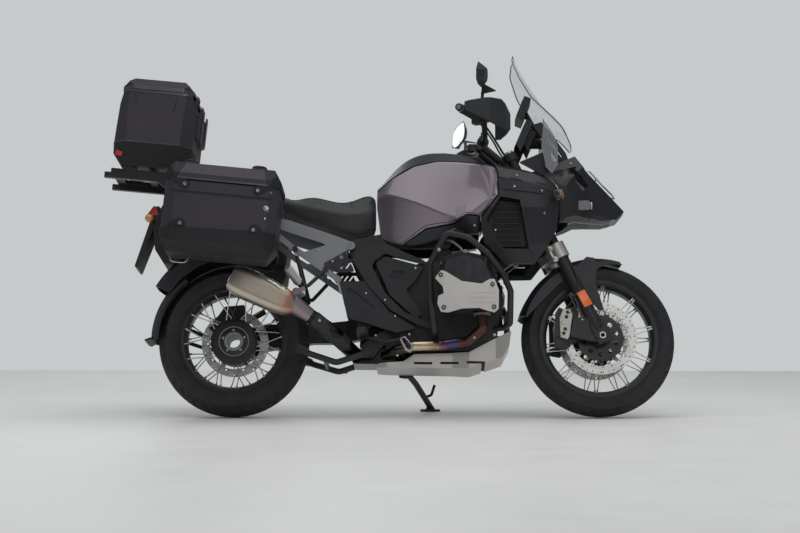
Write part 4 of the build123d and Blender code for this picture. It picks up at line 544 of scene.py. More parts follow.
CHASSIS_TREE = tree_of(*[n for n in CAD_FINISH if n not in BODIES and "front_" not in n
    and "rear_tyre" not in n and n not in ("rear_rim", "rear_disc", "side_stand", "centre_stand",
    "windscreen")])


def landed(tree, x, z, side):
    """Where a line from beside the machine meets the solids at (x, z): the point and the normal there."""
    origin = UPRIGHT @ mm(x, side * BESIDE, z)
    across = (UPRIGHT.to_3x3() @ Vector((0, -side, 0))).normalized()
    hit, normal, _, _ = tree.ray_cast(origin, across)
    if hit is None:
        return None, None
    back = UPRIGHT.inverted()
    if normal.dot(across) > 0:
        normal = -normal
    return back @ hit, (back.to_3x3() @ normal).normalized()


def skin(name, node, material, centre, planes, lift, place=UPRIGHT):
    """A thin cover over the part of a solid that the planes leave, lift millimetres off its surface."""
    bm = world_mesh(node)
    inverse = place.inverted()
    bmesh.ops.transform(bm, matrix=inverse, verts=bm.verts)
    middle = mm(*centre)
    for point, normal in planes:
        bmesh.ops.bisect_plane(bm, geom=bm.verts[:] + bm.edges[:] + bm.faces[:], dist=1e-7,
            plane_co=mm(*point), plane_no=Vector(normal), clear_inner=True)
    inner = [f for f in bm.faces if f.normal.dot(f.calc_center_median() - middle) <= 0]
    bmesh.ops.delete(bm, geom=inner, context="FACES")
    bm.normal_update()
    for v in bm.verts:
        v.co += v.normal * lift * 0.001
    bm.normal_update()
    bmesh.ops.solidify(bm, geom=bm.faces[:], thickness=(lift + 0.4) * 0.001)
    return piece(name, bm, material, BODIES.get(node, "chassis"), place)


# ---- wheels
def wire_wheel(name, body, base, hub, rim, twist, ends, skip):
    """Crossed spokes with their nipples. ends: y at the hub, y at the rim, inset, phase of each row of 20."""
    wires, nipples = meshes(2)
    for hub_y, rim_y, inset, phase in ends:
        for n in range(20):
            start = math.radians(18 * (n + phase))
            end = start + math.radians(twist if n % 2 else -twist)
            reach = rim - inset
            a = mm(hub * math.cos(start), hub_y, hub * math.sin(start))
            b = mm(reach * math.cos(end), rim_y, reach * math.sin(end))
            along = (b - a).normalized()
            add_tube(wires, [a + along * skip * 0.001, b], 2.4, 8)
            add_lathe(nipples, [(2.6, -16), (4, -14), (4, 2), (0, 2)], b, along, 8)
    piece(name + "_spokes", wires, "bare_steel", body, base, 40)
    piece(name + "_nipples", nipples, "bolt_steel", body, base)


FRONT_WHEEL = STEERED @ Matrix.Translation(mm(*FRONT_AXLE))
REAR_WHEEL = UPRIGHT @ Matrix.Translation(mm(*REAR_AXLE))
wire_wheel("front_wheel", "front_wheel", FRONT_WHEEL, 55, FRONT_BEAD, 26,
    ((-34, -38, 10, 0.25), (34, 38, 10, -0.25)), 4)
wire_wheel("rear_wheel", "rear_wheel", REAR_WHEEL, 93, REAR_BEAD, 18,
    ((-12, -60, 8, 0.25), (2, 26, 17, -0.25)), 7)

bm = bmesh.new()
for side in SIDES:
    for n in range(10):
        a = math.radians(36 * n)
        out = Vector((math.cos(a), 0, math.sin(a)))
        add_lathe(bm, [(0, 2.4), (4, 2.4), (7.5, 1.6), (7.8, -0.6), (0, -0.6)],
            out * 0.109 + mm(0, side * 67, 0), (0, side, 0), 12)
piece("front_disc_bobbins", bm, "bolt_steel", "front_wheel", FRONT_WHEEL)


def drillings(name, body, base, rings, faces):
    """The many small holes of a drilled disc, as dark spots just proud of each face: painted shade for the
    dark seen into each hole.
    """
    bm = bmesh.new()
    for y, way in faces:
        for radius, size, turn in rings:
            for n in range(20):
                a = math.radians(18 * n + turn)
                add_lathe(bm, [(0, 0.25), (size, 0.25), (size, -0.4), (0, -0.4)],
                    mm(radius * math.cos(a), y, radius * math.sin(a)), (0, way, 0), 9)
    piece(name, bm, "deep_plastic", body, base)


# painted shade: dark spots put where the discs' holes are
drillings("front_disc_hole_shade", "front_wheel", FRONT_WHEEL, ((125, 2.7, 4), (146, 3.0, 4), (148, 2.2, 13)),
    ((67, 1), (62, -1), (-67, -1), (-62, 1)))
drillings("rear_disc_hole_shade", "rear_wheel", REAR_WHEEL, ((115, 2.6, 4), (133, 2.8, 4)),
    ((46, 1), (41, -1)))
bm = bmesh.new()
for n in range(5):
    a = math.radians(72 * n + 20)
    add_screw(bm, Vector((0.047 * math.cos(a), -0.0345, 0.047 * math.sin(a))), (0, -1, 0), 6.8)
for n in range(6):
    a = math.radians(60 * n)
    add_lathe(bm, [(0, 3), (6, 3), (7.5, 1.2), (7.8, -0.6), (0, -0.6)],
        Vector((0.097 * math.cos(a), 0.0415, 0.097 * math.sin(a))), (0, -1, 0), 12)
piece("rear_hub_screws", bm, "bolt_steel", "rear_wheel", REAR_WHEEL)
bm = bmesh.new()
add_lathe(bm, [(28.5, 0), (28.5, -4), (34, -5.5), (40.5, -3), (40.5, 0)], mm(0, -34, 0), (0, 1, 0), 40)
add_lathe(bm, [(59.5, 0), (60, -3), (64, -3), (64.5, 0)], mm(0, -27.5, 0), (0, 1, 0), 48)
piece("rear_hub_rings", bm, "frame_silver", "rear_wheel", REAR_WHEEL)
for name, body, base, half, bead in (("front_rim_edges", "front_wheel", FRONT_WHEEL, 46.0, FRONT_BEAD),
        ("rear_rim_edges", "rear_wheel", REAR_WHEEL, 66.0, REAR_BEAD)):
    bm = bmesh.new()
    for side in SIDES:
        add_lathe(bm, [(bead - 8.8, -0.4), (bead - 6, 1.2), (bead + 11, 1.4), (bead + 14.2, 0.2),
            (bead + 14.2, -3), (bead - 8.8, -3)], mm(0, side * half, 0), (0, side, 0), 96)
    piece(name, bm, "gloss_trim", body, base, 40)

# ---- fork, brakes and lines
AXLE = mm(*FRONT_AXLE)
UP_FORK = Vector((-math.sin(RAKE), 0, math.cos(RAKE)))
AHEAD = Vector((math.cos(RAKE), 0, math.sin(RAKE)))


def on_fork(along, side, ahead=0.0, out=104.0):
    """A point along, ahead of and out from the front axle, in millimetres, by the fork's own directions."""
    return AXLE + UP_FORK * along * 0.001 + AHEAD * ahead * 0.001 + Vector((0, side * out * 0.001, 0))


face, dark, bolts, lens, holder, clamp = meshes(6)
for side in SIDES:
    y = side * 93.0
    add_prism(face, [(1360, 318), (1390, 308), (1399, 322), (1409, 380), (1413, 416), (1404, 440),
        (1372, 438), (1356, 400)], y, side * 107.0, 3.0)
    add_prism(face, [(1364, 372), (1404, 366), (1406, 380), (1364, 386)], side * 106.0, side * 109.5, 1.0)
    add_prism(dark, [(1342, 322), (1362, 312), (1358, 396), (1372, 440), (1356, 446), (1340, 420)], y,
        side * 101.0, 2.0)
    add_prism(dark, [(1340, 322), (1398, 300), (1404, 282), (1382, 268), (1336, 276)], side * 80.0,
        side * 96.0, 2.5)
    for x, z in ((1374, 334), (1380, 352), (1386, 404), (1392, 424)):
        add_lathe(dark, [(0, 2.2), (4.5, 2.2), (7.5, 1.2), (8.5, -1), (0, -1)], mm(x, side * 107.2, z),
            (0, side, 0), 16)
    for x, z, r in ((1364, 328, 6.0), (1400, 428, 6.0), (1512, 322, 5.0), (1452, 392, 5.0)):
        add_screw(bolts, mm(x, side * (115.5 if x > 1420 else 107.5), z), (0, side, 0), r)
    add_lathe(bolts, [(16.5, -0.5), (16.5, 3.5), (14.5, 5), (10.8, 5), (10, 1.5), (10, -0.5)],
        mm(1534, side * 126.5, 325), (0, side, 0), 6)
    for along, ahead in ((378, -34), (424, -34)):
        add_lathe(bolts, [(0, 6), (3.5, 6), (4.2, 3), (7.2, 3.5), (7.8, 0), (7.8, -10), (0, -10)],
            on_fork(along, side, ahead, 137.0), (0, side, 0), 14)
    add_tube(clamp, [on_fork(364, side, -30, 104), on_fork(436, side, -30, 104)], 21, 6)
    add_tube(clamp, [on_fork(372, side, -33, 90), on_fork(372, side, -33, 134)], 11, 14)
    add_tube(clamp, [on_fork(424, side, -33, 90), on_fork(424, side, -33, 134)], 11, 14)
    centre = on_fork(170, side, 0, 132)
    corners = ((-34, -17), (-34, 21), (34, 17), (34, -19))
    quad = [centre + UP_FORK * a * 0.001 + AHEAD * b * 0.001 for a, b in corners]
    for target, grow, low, high in ((holder, 1.12, -0.006, 0.001), (lens, 1.0, 0.0, 0.005)):
        rings = []
        for h, g in ((low, grow), (high - 0.0012, grow), (high, grow * 0.93)):
            rings.append([target.verts.new(centre + (q - centre) * g + Vector((0, side * h, 0)))
                for q in quad])
        for r0, r1 in zip(rings, rings[1:]):
            for k in range(4):
                target.faces.new((r0[k], r0[(k + 1) % 4], r1[(k + 1) % 4], r1[k]))
        target.faces.new(rings[0])
        target.faces.new(rings[-1])
    add_lathe(clamp, [(0, 0.8), (13.5, 0.8), (15, 0), (19.5, 0.5), (20.6, -3), (20.6, -14), (0, -14)],
        on_fork(878, side), UP_FORK, 24)
piece("caliper_faces", face, "caliper_silver", "steering", STEERED, bevel=1.4)
piece("caliper_backs", dark, "engine_black", "steering", STEERED, bevel=1.0)
piece("fork_screws", bolts, "bolt_steel", "steering", STEERED)
piece("fork_reflectors", lens, "orange_lens", "steering", STEERED)
piece("reflector_holders", holder, "matte_trim", "steering", STEERED)
piece("fork_clamps", clamp, "bare_aluminium", "steering", STEERED, bevel=0.8)

bm = bmesh.new()
for side in SIDES:
    for along in (64, 366):
        add_lathe(bm, [(27.4, -4), (29, -3), (29.4, 0), (29, 3), (27.4, 4)], on_fork(along, side),
            UP_FORK, 32)
piece("fork_bands", bm, "gloss_trim", "steering", STEERED)


def hose(name, points, radius):
    """A cable or brake line drawn as a smooth tube through the given points."""
    line = smooth_line([mm(*p) for p in points], 8)
    bm = bmesh.new()
    add_tube(bm, line, radius, 10)
    obj = piece(name, bm, "rubber_hose", "steering", STEERED, 60)


for side, tag in ((1, "left"), (-1, "right")):
    hose("brake_line_" + tag, [(1402, side * 120, 640), (1432, side * 138, 560), (1424, side * 134, 500),
        (1392, side * 112, 446)], 3.6)
    hose("bar_line_" + tag, [(1022, side * 262, 1196), (1073, side * 176, 1162), (1132, side * 100, 1102),
        (1186, side * 76, 1032), (1230, side * 84, 952)], 4.6)
    hose("control_cable_" + tag, [(1016, side * 272, 1178), (1070, side * 182, 1145),
        (1116, side * 108, 1101), (1170, side * 68, 1046), (1206, side * 70, 962)], 3.8)

# ---- handlebar, controls and mirrors
GRIP_IN, GRIP_OUT = Vector((1.004, 0.290, 1.202)), Vector((0.915, 0.456, 1.190))


def on_bar(share, side):
    p = GRIP_IN + (GRIP_OUT - GRIP_IN) * share
    return Vector((p.x, p.y * side, p.z))


MIRROR_CENTRE = mm(992, 432, 1352)
MIRROR_TURN = math.radians(38.0)


def mirror_turned(p, side):
    """A point of a mirror head, turned about its stalk until the glass faces the rider."""
    pivot = Vector((MIRROR_CENTRE.x, side * MIRROR_CENTRE.y, 0))
    return pivot + Matrix.Rotation(side * MIRROR_TURN, 3, "Z") @ (p - pivot)


steered_back = STEERED.inverted()
heads = world_mesh("mirrors")
for v in heads.verts:
    p = steered_back @ v.co
    side = math.copysign(1, p.y)
    apart = p - Vector((MIRROR_CENTRE.x, side * MIRROR_CENTRE.y, MIRROR_CENTRE.z))
    if apart.z > -0.056 and apart.xy.length < 0.095:
        p = mirror_turned(p, side)
    v.co = p
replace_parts(piece("mirror_heads", heads, "matte_trim", "steering", STEERED), "mirrors")

grips, ends, glasses, clamps = meshes(4)
for side in SIDES:
    along = (on_bar(1, side) - on_bar(0, side)).normalized()
    profile = [(16.5, 0), (20.5, 0), (20.5, 4)]
    for n in range(16):
        h = 10 + 8.8 * n
        profile += [(18, h), (18.6, h + 1.2), (18.6, h + 4.6), (18, h + 5.8)]
    profile += [(19.6, 152), (19.6, 156), (16.5, 157)]
    add_lathe(grips, profile, on_bar(0.13, side), along, 20)
    tip = on_bar(1.2, side)
    add_lathe(ends, [(0, 1.2), (4, 1.2), (4.6, 3.5), (8.2, 3.5), (9.2, 1.8), (9.2, -2), (0, -2)], tip,
        along, 18)
    add_lathe(clamps, [(14.2, 0), (17.2, 0.6), (17.2, 3.4), (14.2, 4)], on_bar(1.1, side), along, 24)
    for x, y, z in ((1046, 34, 1196), (1046, 62, 1196)):
        add_screw(ends, mm(x + 12, side * y, z - 2), (0.3, 0, 0.95), 4.5)
        add_screw(ends, mm(x - 12, side * y, z - 2), (-0.3, 0, 0.95), 4.5)
    u = Vector((0.34, side * 0.94, 0)).normalized()
    n = Vector((-0.94, side * 0.34, 0.05)).normalized()
    v = n.cross(u) * side
    rim = [(-70, -30), (-52, -50), (40, -40), (74, 0), (66, 46), (20, 62), (-60, 44), (-78, 8)]
    rim = smooth_line([Vector((a * 0.87, b * 0.86, 0)) for a, b in rim], 4, closed=True)
    centre = mm(992, side * 432, 1352)
    low = [glasses.verts.new(centre + (u * p.x + v * p.y) * 0.001 - n * 0.002) for p in rim]
    top = [glasses.verts.new(centre + (u * p.x + v * p.y) * 0.001 + n * 0.0008) for p in rim]
    for k in range(len(rim)):
        glasses.faces.new((low[k], low[(k + 1) % len(rim)], top[(k + 1) % len(rim)], top[k]))
    glasses.faces.new(top)
    glasses.faces.new(list(reversed(low)))
    for v in low + top:
        v.co = mirror_turned(v.co, side)
piece("grips", grips, "soft_grip", "steering", STEERED, 60)
piece("bar_end_screws", ends, "bolt_steel", "steering", STEERED)
piece("bar_end_rings", clamps, "frame_silver", "steering", STEERED)
piece("mirror_glasses", glasses, "mirror_glass", "steering", STEERED)

buttons, levers = meshes(2)
for side in SIDES:
    root = on_bar(0.0, side)
    for n, (a, b) in enumerate(((-0.030, 0.010), (-0.030, -0.006), (-0.029, -0.018))):
        add_lathe(buttons, [(0, 3), (4.5, 3), (5.8, 1.2), (6, -6), (0, -6)],
            root + Vector((a + 0.002, -side * 0.004 * n, b)), (-1, 0, 0.12), 14)
    cap = on_bar(-0.08, side) + mm(26, 0, 50)
    add_lathe(levers, [(0, 4), (18, 4), (22.5, 2.5), (24.6, -1), (24.6, -6), (0, -6)], cap, (0, 0, 1), 28)
    for a in (0.6, 2.2, 3.7, 5.3):
        add_screw(buttons, cap + Vector((0.017 * math.cos(a), 0.017 * math.sin(a), 0.004)), (0, 0, 1),
            2.8)
piece("bar_buttons", buttons, "frame_silver", "steering", STEERED)
piece("reservoir_caps", levers, "gloss_trim", "steering", STEERED)

# ---- hard cases
LID_CORNER = [(196, 298), (176, 298), (148, 297), (132, 288), (128, 272), (136, 259), (152, 256), (166, 263),
    (212, 296)]
TRAY_CORNER = [(204, 100), (174, 128), (160, 134), (146, 133), (134, 124), (130, 112), (126, 100)]
LASHING_LOOP = ((-27, 376), (-25, 385), (-12, 389), (12, 389), (25, 385), (27, 376))
CASE_HANDLE = ((-196, 4), (-192, -14), (-176, -20), (-140, -20), (-126, -12), (-122, 4))
PANEL_LINE = ((-92, 296), (-84, 240), (-78, 234), (68, 230), (76, 236), (82, 290))


def between(high, low):
    """The two level planes that leave a band of a case."""
    return [((0, 0, high), (0, 0, -1)), ((0, 0, low), (0, 0, 1))]


for side, tag in ((1, "left"), (-1, "right")):
    middle = (0, side * 356, 150)
    lid = tag + "_case_lid"
    for end, word in ((1, "front"), (-1, "rear")):
        skin(f"{tag}_lid_{word}_cap", lid, "case_cap", (0, side * 356, 290),
            [((end * 186, 0, 300), (end, 0, 0.32)), ((0, 0, 374.4), (0, 0, -1)),
            ((0, side * 240, 300), (0, side, 0.2))], 2.2, CASE)
    skin(f"{tag}_lid_rim", lid, "case_rim", (0, side * 356, 290), between(304, 297.5), 1.5, CASE)
    skin(f"{tag}_case_tray", "side_case_bodies", "case_cap", middle,
        [((0, 0, 102), (0.03, 0, -1)), ((0, side * 20, 0), (0, side, 0))], 1.8, CASE)
    marks, bolts, loops = meshes(3)
    for end in (1, -1):
        for z, shape in ((276, LID_CORNER), (112, TRAY_CORNER)):
            add_prism(marks, [(end * x, zz) for x, zz in (shape if end > 0 else reversed(shape))],
                side * 485.5, side * 489.5, 1.2)
            add_lathe(bolts, [(0, 0.6), (3.6, 0.6), (4.2, 2.8), (7.2, 3), (8.4, 1.2), (8.4, -2), (0, -2)],
                mm(end * 150, side * 490, z), (0, side, 0), 18)
        for y in (266, 426):
            line = [mm(end * 140 + x, side * y, z) for x, z in LASHING_LOOP]
            add_tube(loops, smooth_line(line, 4), 4.2, 8)
    add_prism(marks, [(-212, 248), (-206, 240), (206, 240), (212, 248), (206, 250), (-206, 250)],
        side * 485.6, side * 486.8, 0.5)
    piece(f"{tag}_case_pads", marks, "case_cap", "chassis", CASE)
    piece(f"{tag}_case_bolts", bolts, "bolt_steel", "chassis", CASE)
    piece(f"{tag}_lashing_loops", loops, "gloss_trim", BODIES[lid], CASE, 60)
    bm = bmesh.new()
    add_tube(bm, smooth_line([mm(x, side * 330, z) for x, z in CASE_HANDLE], 5), 3.2, 8)
    add_lathe(bm, [(0, 4), (6, 4), (11, 2.5), (12, 0), (12, -4), (0, -4)], mm(190, side * 487, 205),
        (0, side, 0), 24)
    piece(f"{tag}_case_handle", bm, "bare_steel", "chassis", CASE, 40)
    bm = bmesh.new()
    for x in (-40, 40):
        add_prism(bm, [(x - 19, 262), (x + 19, 262), (x + 19, 322), (x + 12, 330), (x - 12, 330),
            (x - 19, 322)], side * 222.0, side * 212.0, 2.0)
    piece(f"{tag}_case_latches", bm, "gloss_trim", "chassis", CASE, bevel=1.0)

for name, node, look, middle, planes, lift in (
    ("top_lid_rim", "top_case_lid", "case_rim", 330, between(336, 320), 1.6),
    ("top_lid_line", "top_case_lid", "gloss_trim", 330, between(342, 336), 1.0),
    ("top_case_rim", "top_case_body", "case_rim", 160, between(316.5, 306) + [((140, 0, 0), (-1, 0, 0))], 1.8),
    ("top_case_seam", "top_case_body", "case_rim", 160, between(92, 87), 1.8),
    ("top_case_tray", "top_case_body", "case_cap", 160, between(87, 2), 1.4),
):
    skin(name, node, look, (0, 0, middle), planes, lift, TOP)
for side, tag in ((1, "left"), (-1, "right")):
    bm = bmesh.new()
    add_tube(bm, [mm(x, side * (207.3 - (z - 92) * 0.0355), z) for x, z in PANEL_LINE], 2.2, 6)
    piece(f"{tag}_top_case_panel", bm, "gloss_trim", "chassis", TOP, 40)
    lens = bmesh.new()
    add_prism(lens, [(-150, 30), (-122, 24), (-120, 42), (-149, 50)], side * 176, side * 196, 1.5)
    piece(f"{tag}_case_reflector", lens, "red_lens", "chassis", TOP)
bm = bmesh.new()
for y in (-62, 62):
    outline = [(y - 20, 150), (y + 20, 150), (y + 20, 268), (y + 12, 280), (y - 12, 280), (y - 20, 268)]
    add_plate(bm, outline, 6, mm(182.5, 0, 0), (0, 1, 0), (0, 0, 1), 1.5)
piece("top_case_latches", bm, "gloss_trim", "chassis", TOP)
bm = bmesh.new()
for y in (-112, 112, -68, 68):
    add_lathe(bm, [(0, 2), (4.5, 1.8), (5.6, 0), (5.6, -3), (0, -3)],
        mm(157, y + (10 if y > 0 else -10) * (1 if abs(y) > 100 else -1), 324),
        (0, math.copysign(1, y), 0), 14)
piece("top_case_pins", bm, "bolt_steel", "chassis", TOP)
bm = bmesh.new()
for x in (-96, -32, 32, 96):
    line = [mm(x, y, 375.4) for y in (-150, -120, 120, 150)]
    add_tube(bm, line, 2.6, 6, squash=0.6)
piece("top_lid_ribs", bm, "case_cap", "top_lid", TOP, 50)

# ---- screws found on the surfaces
spots = [(183, 858, 5.2), (170, 780, 5.2), (160, 748, 4.8), (356, 687, 5.0), (420, 637, 5.0),
    (766, 606, 5.6), (682, 403, 5.0), (436, 229, 4.6), (369, 397, 5.0), (721, 1041, 5.0),
    (1012, 778, 5.4), (1179, 938, 5.6), (1294, 922, 5.6), (1303, 826, 5.6), (1422, 1068, 4.6),
    (1095, 329, 8.0), (640, 470, 5.0), (560, 500, 5.0), (865, 647, 8.0), (1190, 990, 4.6),
    (1100, 760, 4.6), (740, 330, 6.0), (860, 268, 6.0), (1010, 300, 6.0), (660, 240, 5.0),
    (600, 330, 5.0)]
bm, rings = meshes(2)
for side in SIDES:
    for x, z, r in spots:
        p, n = landed(CHASSIS_TREE, x, z, side)
        if p is None or n.y * side < 0.55:
            continue
        add_lathe(bm, [(0, 0.1 * r), (0.40 * r, 0.1 * r), (0.46 * r, 0.42 * r), (0.78 * r, 0.40 * r),
            (r, 0.12 * r), (r, -0.5 * r), (0, -0.5 * r)], p, n, 16)
    for x, z, r in ((488, 709, 9.0), (457, 654, 8.0), (389, 586, 8.0), (269, 666, 9.0), (814, 652, 9.0),
            (218, 619, 14.0)):
        p, n = landed(CHASSIS_TREE, x, z, side)
        if p is None or n.y * side < 0.5:
            continue
        add_lathe(rings, [(0.5 * r, -2), (0.55 * r, 1.6), (0.92 * r, 2.2), (r, 1), (r, -3)], p, n, 24)
        add_lathe(rings, [(0, 0.4), (0.5 * r, 0.4), (0.5 * r, -2), (0, -2)], p, n, 24)
piece("panel_screws", bm, "bolt_steel")
piece("bolt_washers", rings, "frame_silver")

bm, rings = meshes(2)
for side in SIDES:
    for x, z in ((872, 536), (1082, 497), (1088, 404), (884, 402)):
        add_lathe(rings, [(4.4, 0.4), (4.6, 1.6), (8.4, 1.8), (9.2, 0.2), (9.2, -1)],
            mm(x, side * 388, z), (0, side, 0), 28)
        add_lathe(bm, [(0, -0.6), (4.6, -0.6), (4.6, -2), (0, -2)], mm(x, side * 388.6, z), (0, side, 0),
            6)
piece("guard_rings", rings, "engine_black")
piece("guard_screws", bm, "bolt_steel")

# ---- engine
FIN_OUTLINE = ((-98, -92), (100, -98), (114, -50), (116, 30), (78, 110), (-20, 132), (-96, 104), (-116, 20))
bm, dark = meshes(2)
for side in SIDES:
    for n in range(11):
        y = side * (146 + 7.4 * n)
        ring = [(978 + x, 508 + z) for x, z in FIN_OUTLINE]
        add_prism(bm, ring, y, y + side * 2.4, 0.6)
    for x, z in ((880, 596), (1056, 590), (1092, 512), (1078, 420), (866, 430), (972, 646)):
        add_lathe(dark, [(0, 3), (4.2, 3), (4.8, 5.2), (8.6, 5.2), (9.8, 3), (9.8, -4), (0, -4)],
            mm(x, side * 318, z), (0, side, 0), 14)
    add_tube(dark, smooth_line([mm(960, side * 300, 640), mm(952, side * 286, 668),
        mm(920, side * 250, 700), mm(900, side * 200, 716)], 6), 5.5, 8)
    add_lathe(dark, [(25.5, 0), (36, 1), (36, 8), (26.5, 10)], mm(1041, side * 262, 398), (0.05, 0, -1),
        24)
piece("barrel_fins", bm, "engine_black")
piece("engine_fittings", dark, "frame_silver")
bm = bmesh.new()
for n in range(10):
    a = math.radians(36 * n + 8)
    add_lathe(bm, [(0, 4), (4.2, 4), (5.6, 2.5), (6, 0), (6, -4), (0, -4)],
        mm(1131.5, 82 * math.cos(a), 470 + 82 * math.sin(a)), (1, 0, 0), 12)
for n in range(8):
    a = math.radians(45 * n + 10)
    add_lathe(bm, [(0, 4), (4.5, 4), (6, 2.5), (6.4, 0), (6.4, -4), (0, -4)],
        mm(78 * math.cos(a), 112.5, 318 + 78 * math.sin(a)), (0, 1, 0), 12)
piece("cover_screws", bm, "bolt_steel")

# heat shield along the silencer, the black cover of the pipe before it, and the silencer's mouth
can_tree = tree_of("muffler")
bm = bmesh.new()
line = []
for k in range(15):
    t = k / 14
    x, z = 96 + (236 - 96) * t, 578 + (492 - 578) * t
    p, n = landed(can_tree, x, z, -1)
    if p is not None:
        line.append((p, n))
if len(line) > 4:
    along = (line[-1][0] - line[0][0]).normalized()
    rows = []
    for p, n in line:
        up = n.cross(along).normalized()
        if up.z < 0:
            up = -up
        rows.append([bm.verts.new(p + n * 0.0006 - up * 0.013), bm.verts.new(p + n * 0.0036 - up * 0.011),
            bm.verts.new(p + n * 0.0040 + up * 0.008), bm.verts.new(p + n * 0.0008 + up * 0.013)])
    for a, b in zip(rows, rows[1:]):
        for k in range(3):
            bm.faces.new((a[k], a[k + 1], b[k + 1], b[k]))
    bmesh.ops.solidify(bm, geom=bm.faces[:], thickness=0.0012)
    piece("silencer_shield", bm, "polished_steel", "chassis", UPRIGHT, 40)
bm = bmesh.new()
add_tube(bm, smooth_line([mm(345, -206, 386), mm(392, -190, 350), mm(440, -164, 314), mm(474, -132, 288)],
    6), 33.5, 22)
piece("pipe_cover", bm, "matte_trim", "chassis", UPRIGHT, 50)
bm = bmesh.new()
for x, y, z in ((372, -237, 372), (428, -206, 330)):
    add_lathe(bm, [(0, 1), (3, 1), (3.6, 3), (5.6, 3), (6.8, 1), (6.8, -6), (0, -6)], mm(x, y, z),
        (0.1, -1, 0.2), 14)
piece("cover_bolts", bm, "bolt_steel")
bm = bmesh.new()
mouth = mm(4, -232, 554)
away = Vector((-0.905, 0, 0.425)).normalized()
add_lathe(bm, [(26.2, -40), (26.2, 3), (29, 5), (33, 3), (33, 0)], mouth, away, 40)
piece("silencer_mouth", bm, "polished_steel", "chassis", UPRIGHT, 50)

# ---- pegs, pedals and the front spring
bm, pads = meshes(2)
for side in SIDES:
    loop = [(706, 300), (724, 306), (755, 268), (745, 248), (728, 257)]
    add_tube(bm, [mm(x, side * 223.5, z) for x, z in loop], 3.4, 8, closed=True)
    add_tube(bm, [mm(x, side * 188, z) for x, z in loop], 3.4, 8, closed=True)
    for x, z in loop[1:4]:
        add_tube(bm, [mm(x, side * 188, z), mm(x, side * 223.5, z)], 3.4, 8)
    a, b = mm(281, side * 200, 539), mm(238, side * 268, 590)
    along = (b - a).normalized()
    profile = [(0, -0.5), (16.5, -0.5)]
    for n in range(9):
        h = 4 + 9.4 * n
        profile += [(16.5, h), (19.2, h + 1.8), (19.2, h + 5), (16.5, h + 6.8)]
    profile += [(17, 92), (14, 96), (0, 96)]
    add_lathe(bm, profile, a, along, 16)
    for n in range(5):
        add_plate(pads, [(-3, -16), (3, -16), (3, 16), (-3, 16)], 4, mm(544, side * (151 + 22 * n), 343),
            (0, 1, 0), (1, 0, 0), 1)
piece("peg_metal", bm, "bare_aluminium")
piece("peg_teeth", pads, "bare_steel")


def coil(bm, a, b, radius, wire, turns, around):
    """A spring between two points."""
    along = (b - a).normalized()
    u = along.orthogonal().normalized()
    v = along.cross(u)
    count = turns * 12
    line = [a + (b - a) * (k / count) + (u * math.cos(2 * math.pi * k / 12)
        + v * math.sin(2 * math.pi * k / 12)) * radius * 0.001 for k in range(count + 1)]
    add_tube(bm, line, wire, around)


bm = bmesh.new()
coil(bm, mm(1182, 0, 676), mm(1116, 0, 850), 37.5, 6, 8, 10)
piece("front_spring", bm, "frame_silver", "chassis", UPRIGHT, 60)

# ---- tank, shrouds, radiators and nose
bm = bmesh.new()
add_lathe(bm, [(0, 3.5), (20, 3.5), (21.5, 1.5), (34, 1.8), (39.5, 4.5), (43.5, 4), (45.5, 0), (45.5, -4),
    (0, -4)], mm(880, 0, 1125), (0, 0, 1), 48)
piece("filler_cap", bm, "gloss_trim")
bm = bmesh.new()
for n in range(6):
    a = math.radians(60 * n + 15)
    add_screw(bm, mm(880 + 30 * math.cos(a), 30 * math.sin(a), 1127), (0, 0, 1), 3.4)
add_lathe(bm, [(0, 0.6), (2.2, 0.6), (2.4, 2.2), (7.6, 2.4), (8.6, 0), (0, 0)], mm(880, 0, 1128.4),
    (0, 0, 1), 22)
piece("filler_screws", bm, "bolt_steel")

bm, slots = meshes(2)
shroud_tree = tree_of("radiator_shrouds")
for side in SIDES:
    for x0, z0, x1, z1 in ((1158, 974, 1212, 962), (1264, 958, 1314, 944)):
        pts = []
        for k in range(7):
            t = k / 6
            p, n = landed(shroud_tree, x0 + (x1 - x0) * t, z0 + (z1 - z0) * t, side)
            if p is not None:
                pts.append(p + n * 0.0004)
        if len(pts) > 3:
            add_tube(slots, pts, lambda t: 6.8 * math.sin(math.pi * (0.12 + 0.76 * t)), 8, squash=0.32)
    for n in range(17):
        x = 1092 + 6.8 * n
        add_plate(bm, [(-0.6, -85), (0.6, -85), (0.6, 85), (-0.6, 85)], 2.2, mm(x, side * 203.5, 780),
            (-side, 0, 0), (0, 0, 1))
    for n in range(22):
        z = 700 + 8 * n
        add_plate(bm, [(-56, -0.6), (56, -0.6), (56, 0.6), (-56, 0.6)], 1.2, mm(1148, side * 202.6, z),
            (-side, 0, 0), (0, 0, 1))
piece("radiator_mesh", bm, "deep_plastic")
piece("shroud_slots", slots, "deep_plastic", "chassis", UPRIGHT, 60)

tank_tree = tree_of("fuel_tank", "tank_trims", "radiator_shrouds", "nose_fairing")


SEAM_SINK = 0.0004


def seam(bm, points, side, tree, radius=1.6):
    """A thin line laid on the surface through points seen from the side."""
    line = []
    for p in smooth_line([Vector((x, 0, z)) for x, z in points], 6):
        hit, n = landed(tree, p.x, p.z, side)
        if hit is not None and n.y * side > 0.1:
            if line and (hit - line[-1]).length > 0.06:
                break
            line.append(hit - n * SEAM_SINK)
    if len(line) > 3:
        add_tube(bm, line, radius, 6)


bm = bmesh.new()
for side in SIDES:
    seam(bm, [(610, 940), (668, 1000), (760, 1050), (858, 1066), (1030, 1056)], side, tank_tree)
    seam(bm, [(628, 736), (704, 714), (806, 778), (930, 793), (976, 826), (1036, 826), (1100, 908)], side,
        tank_tree)
    seam(bm, [(1376, 952), (1440, 1000), (1520, 930), (1600, 876)], side, tank_tree, 1.3)
    seam(bm, [(1126, 1040), (1230, 1014), (1306, 984), (1340, 958)], side, tank_tree, 1.3)
piece("panel_gaps", bm, "deep_plastic", "chassis", UPRIGHT, 60)

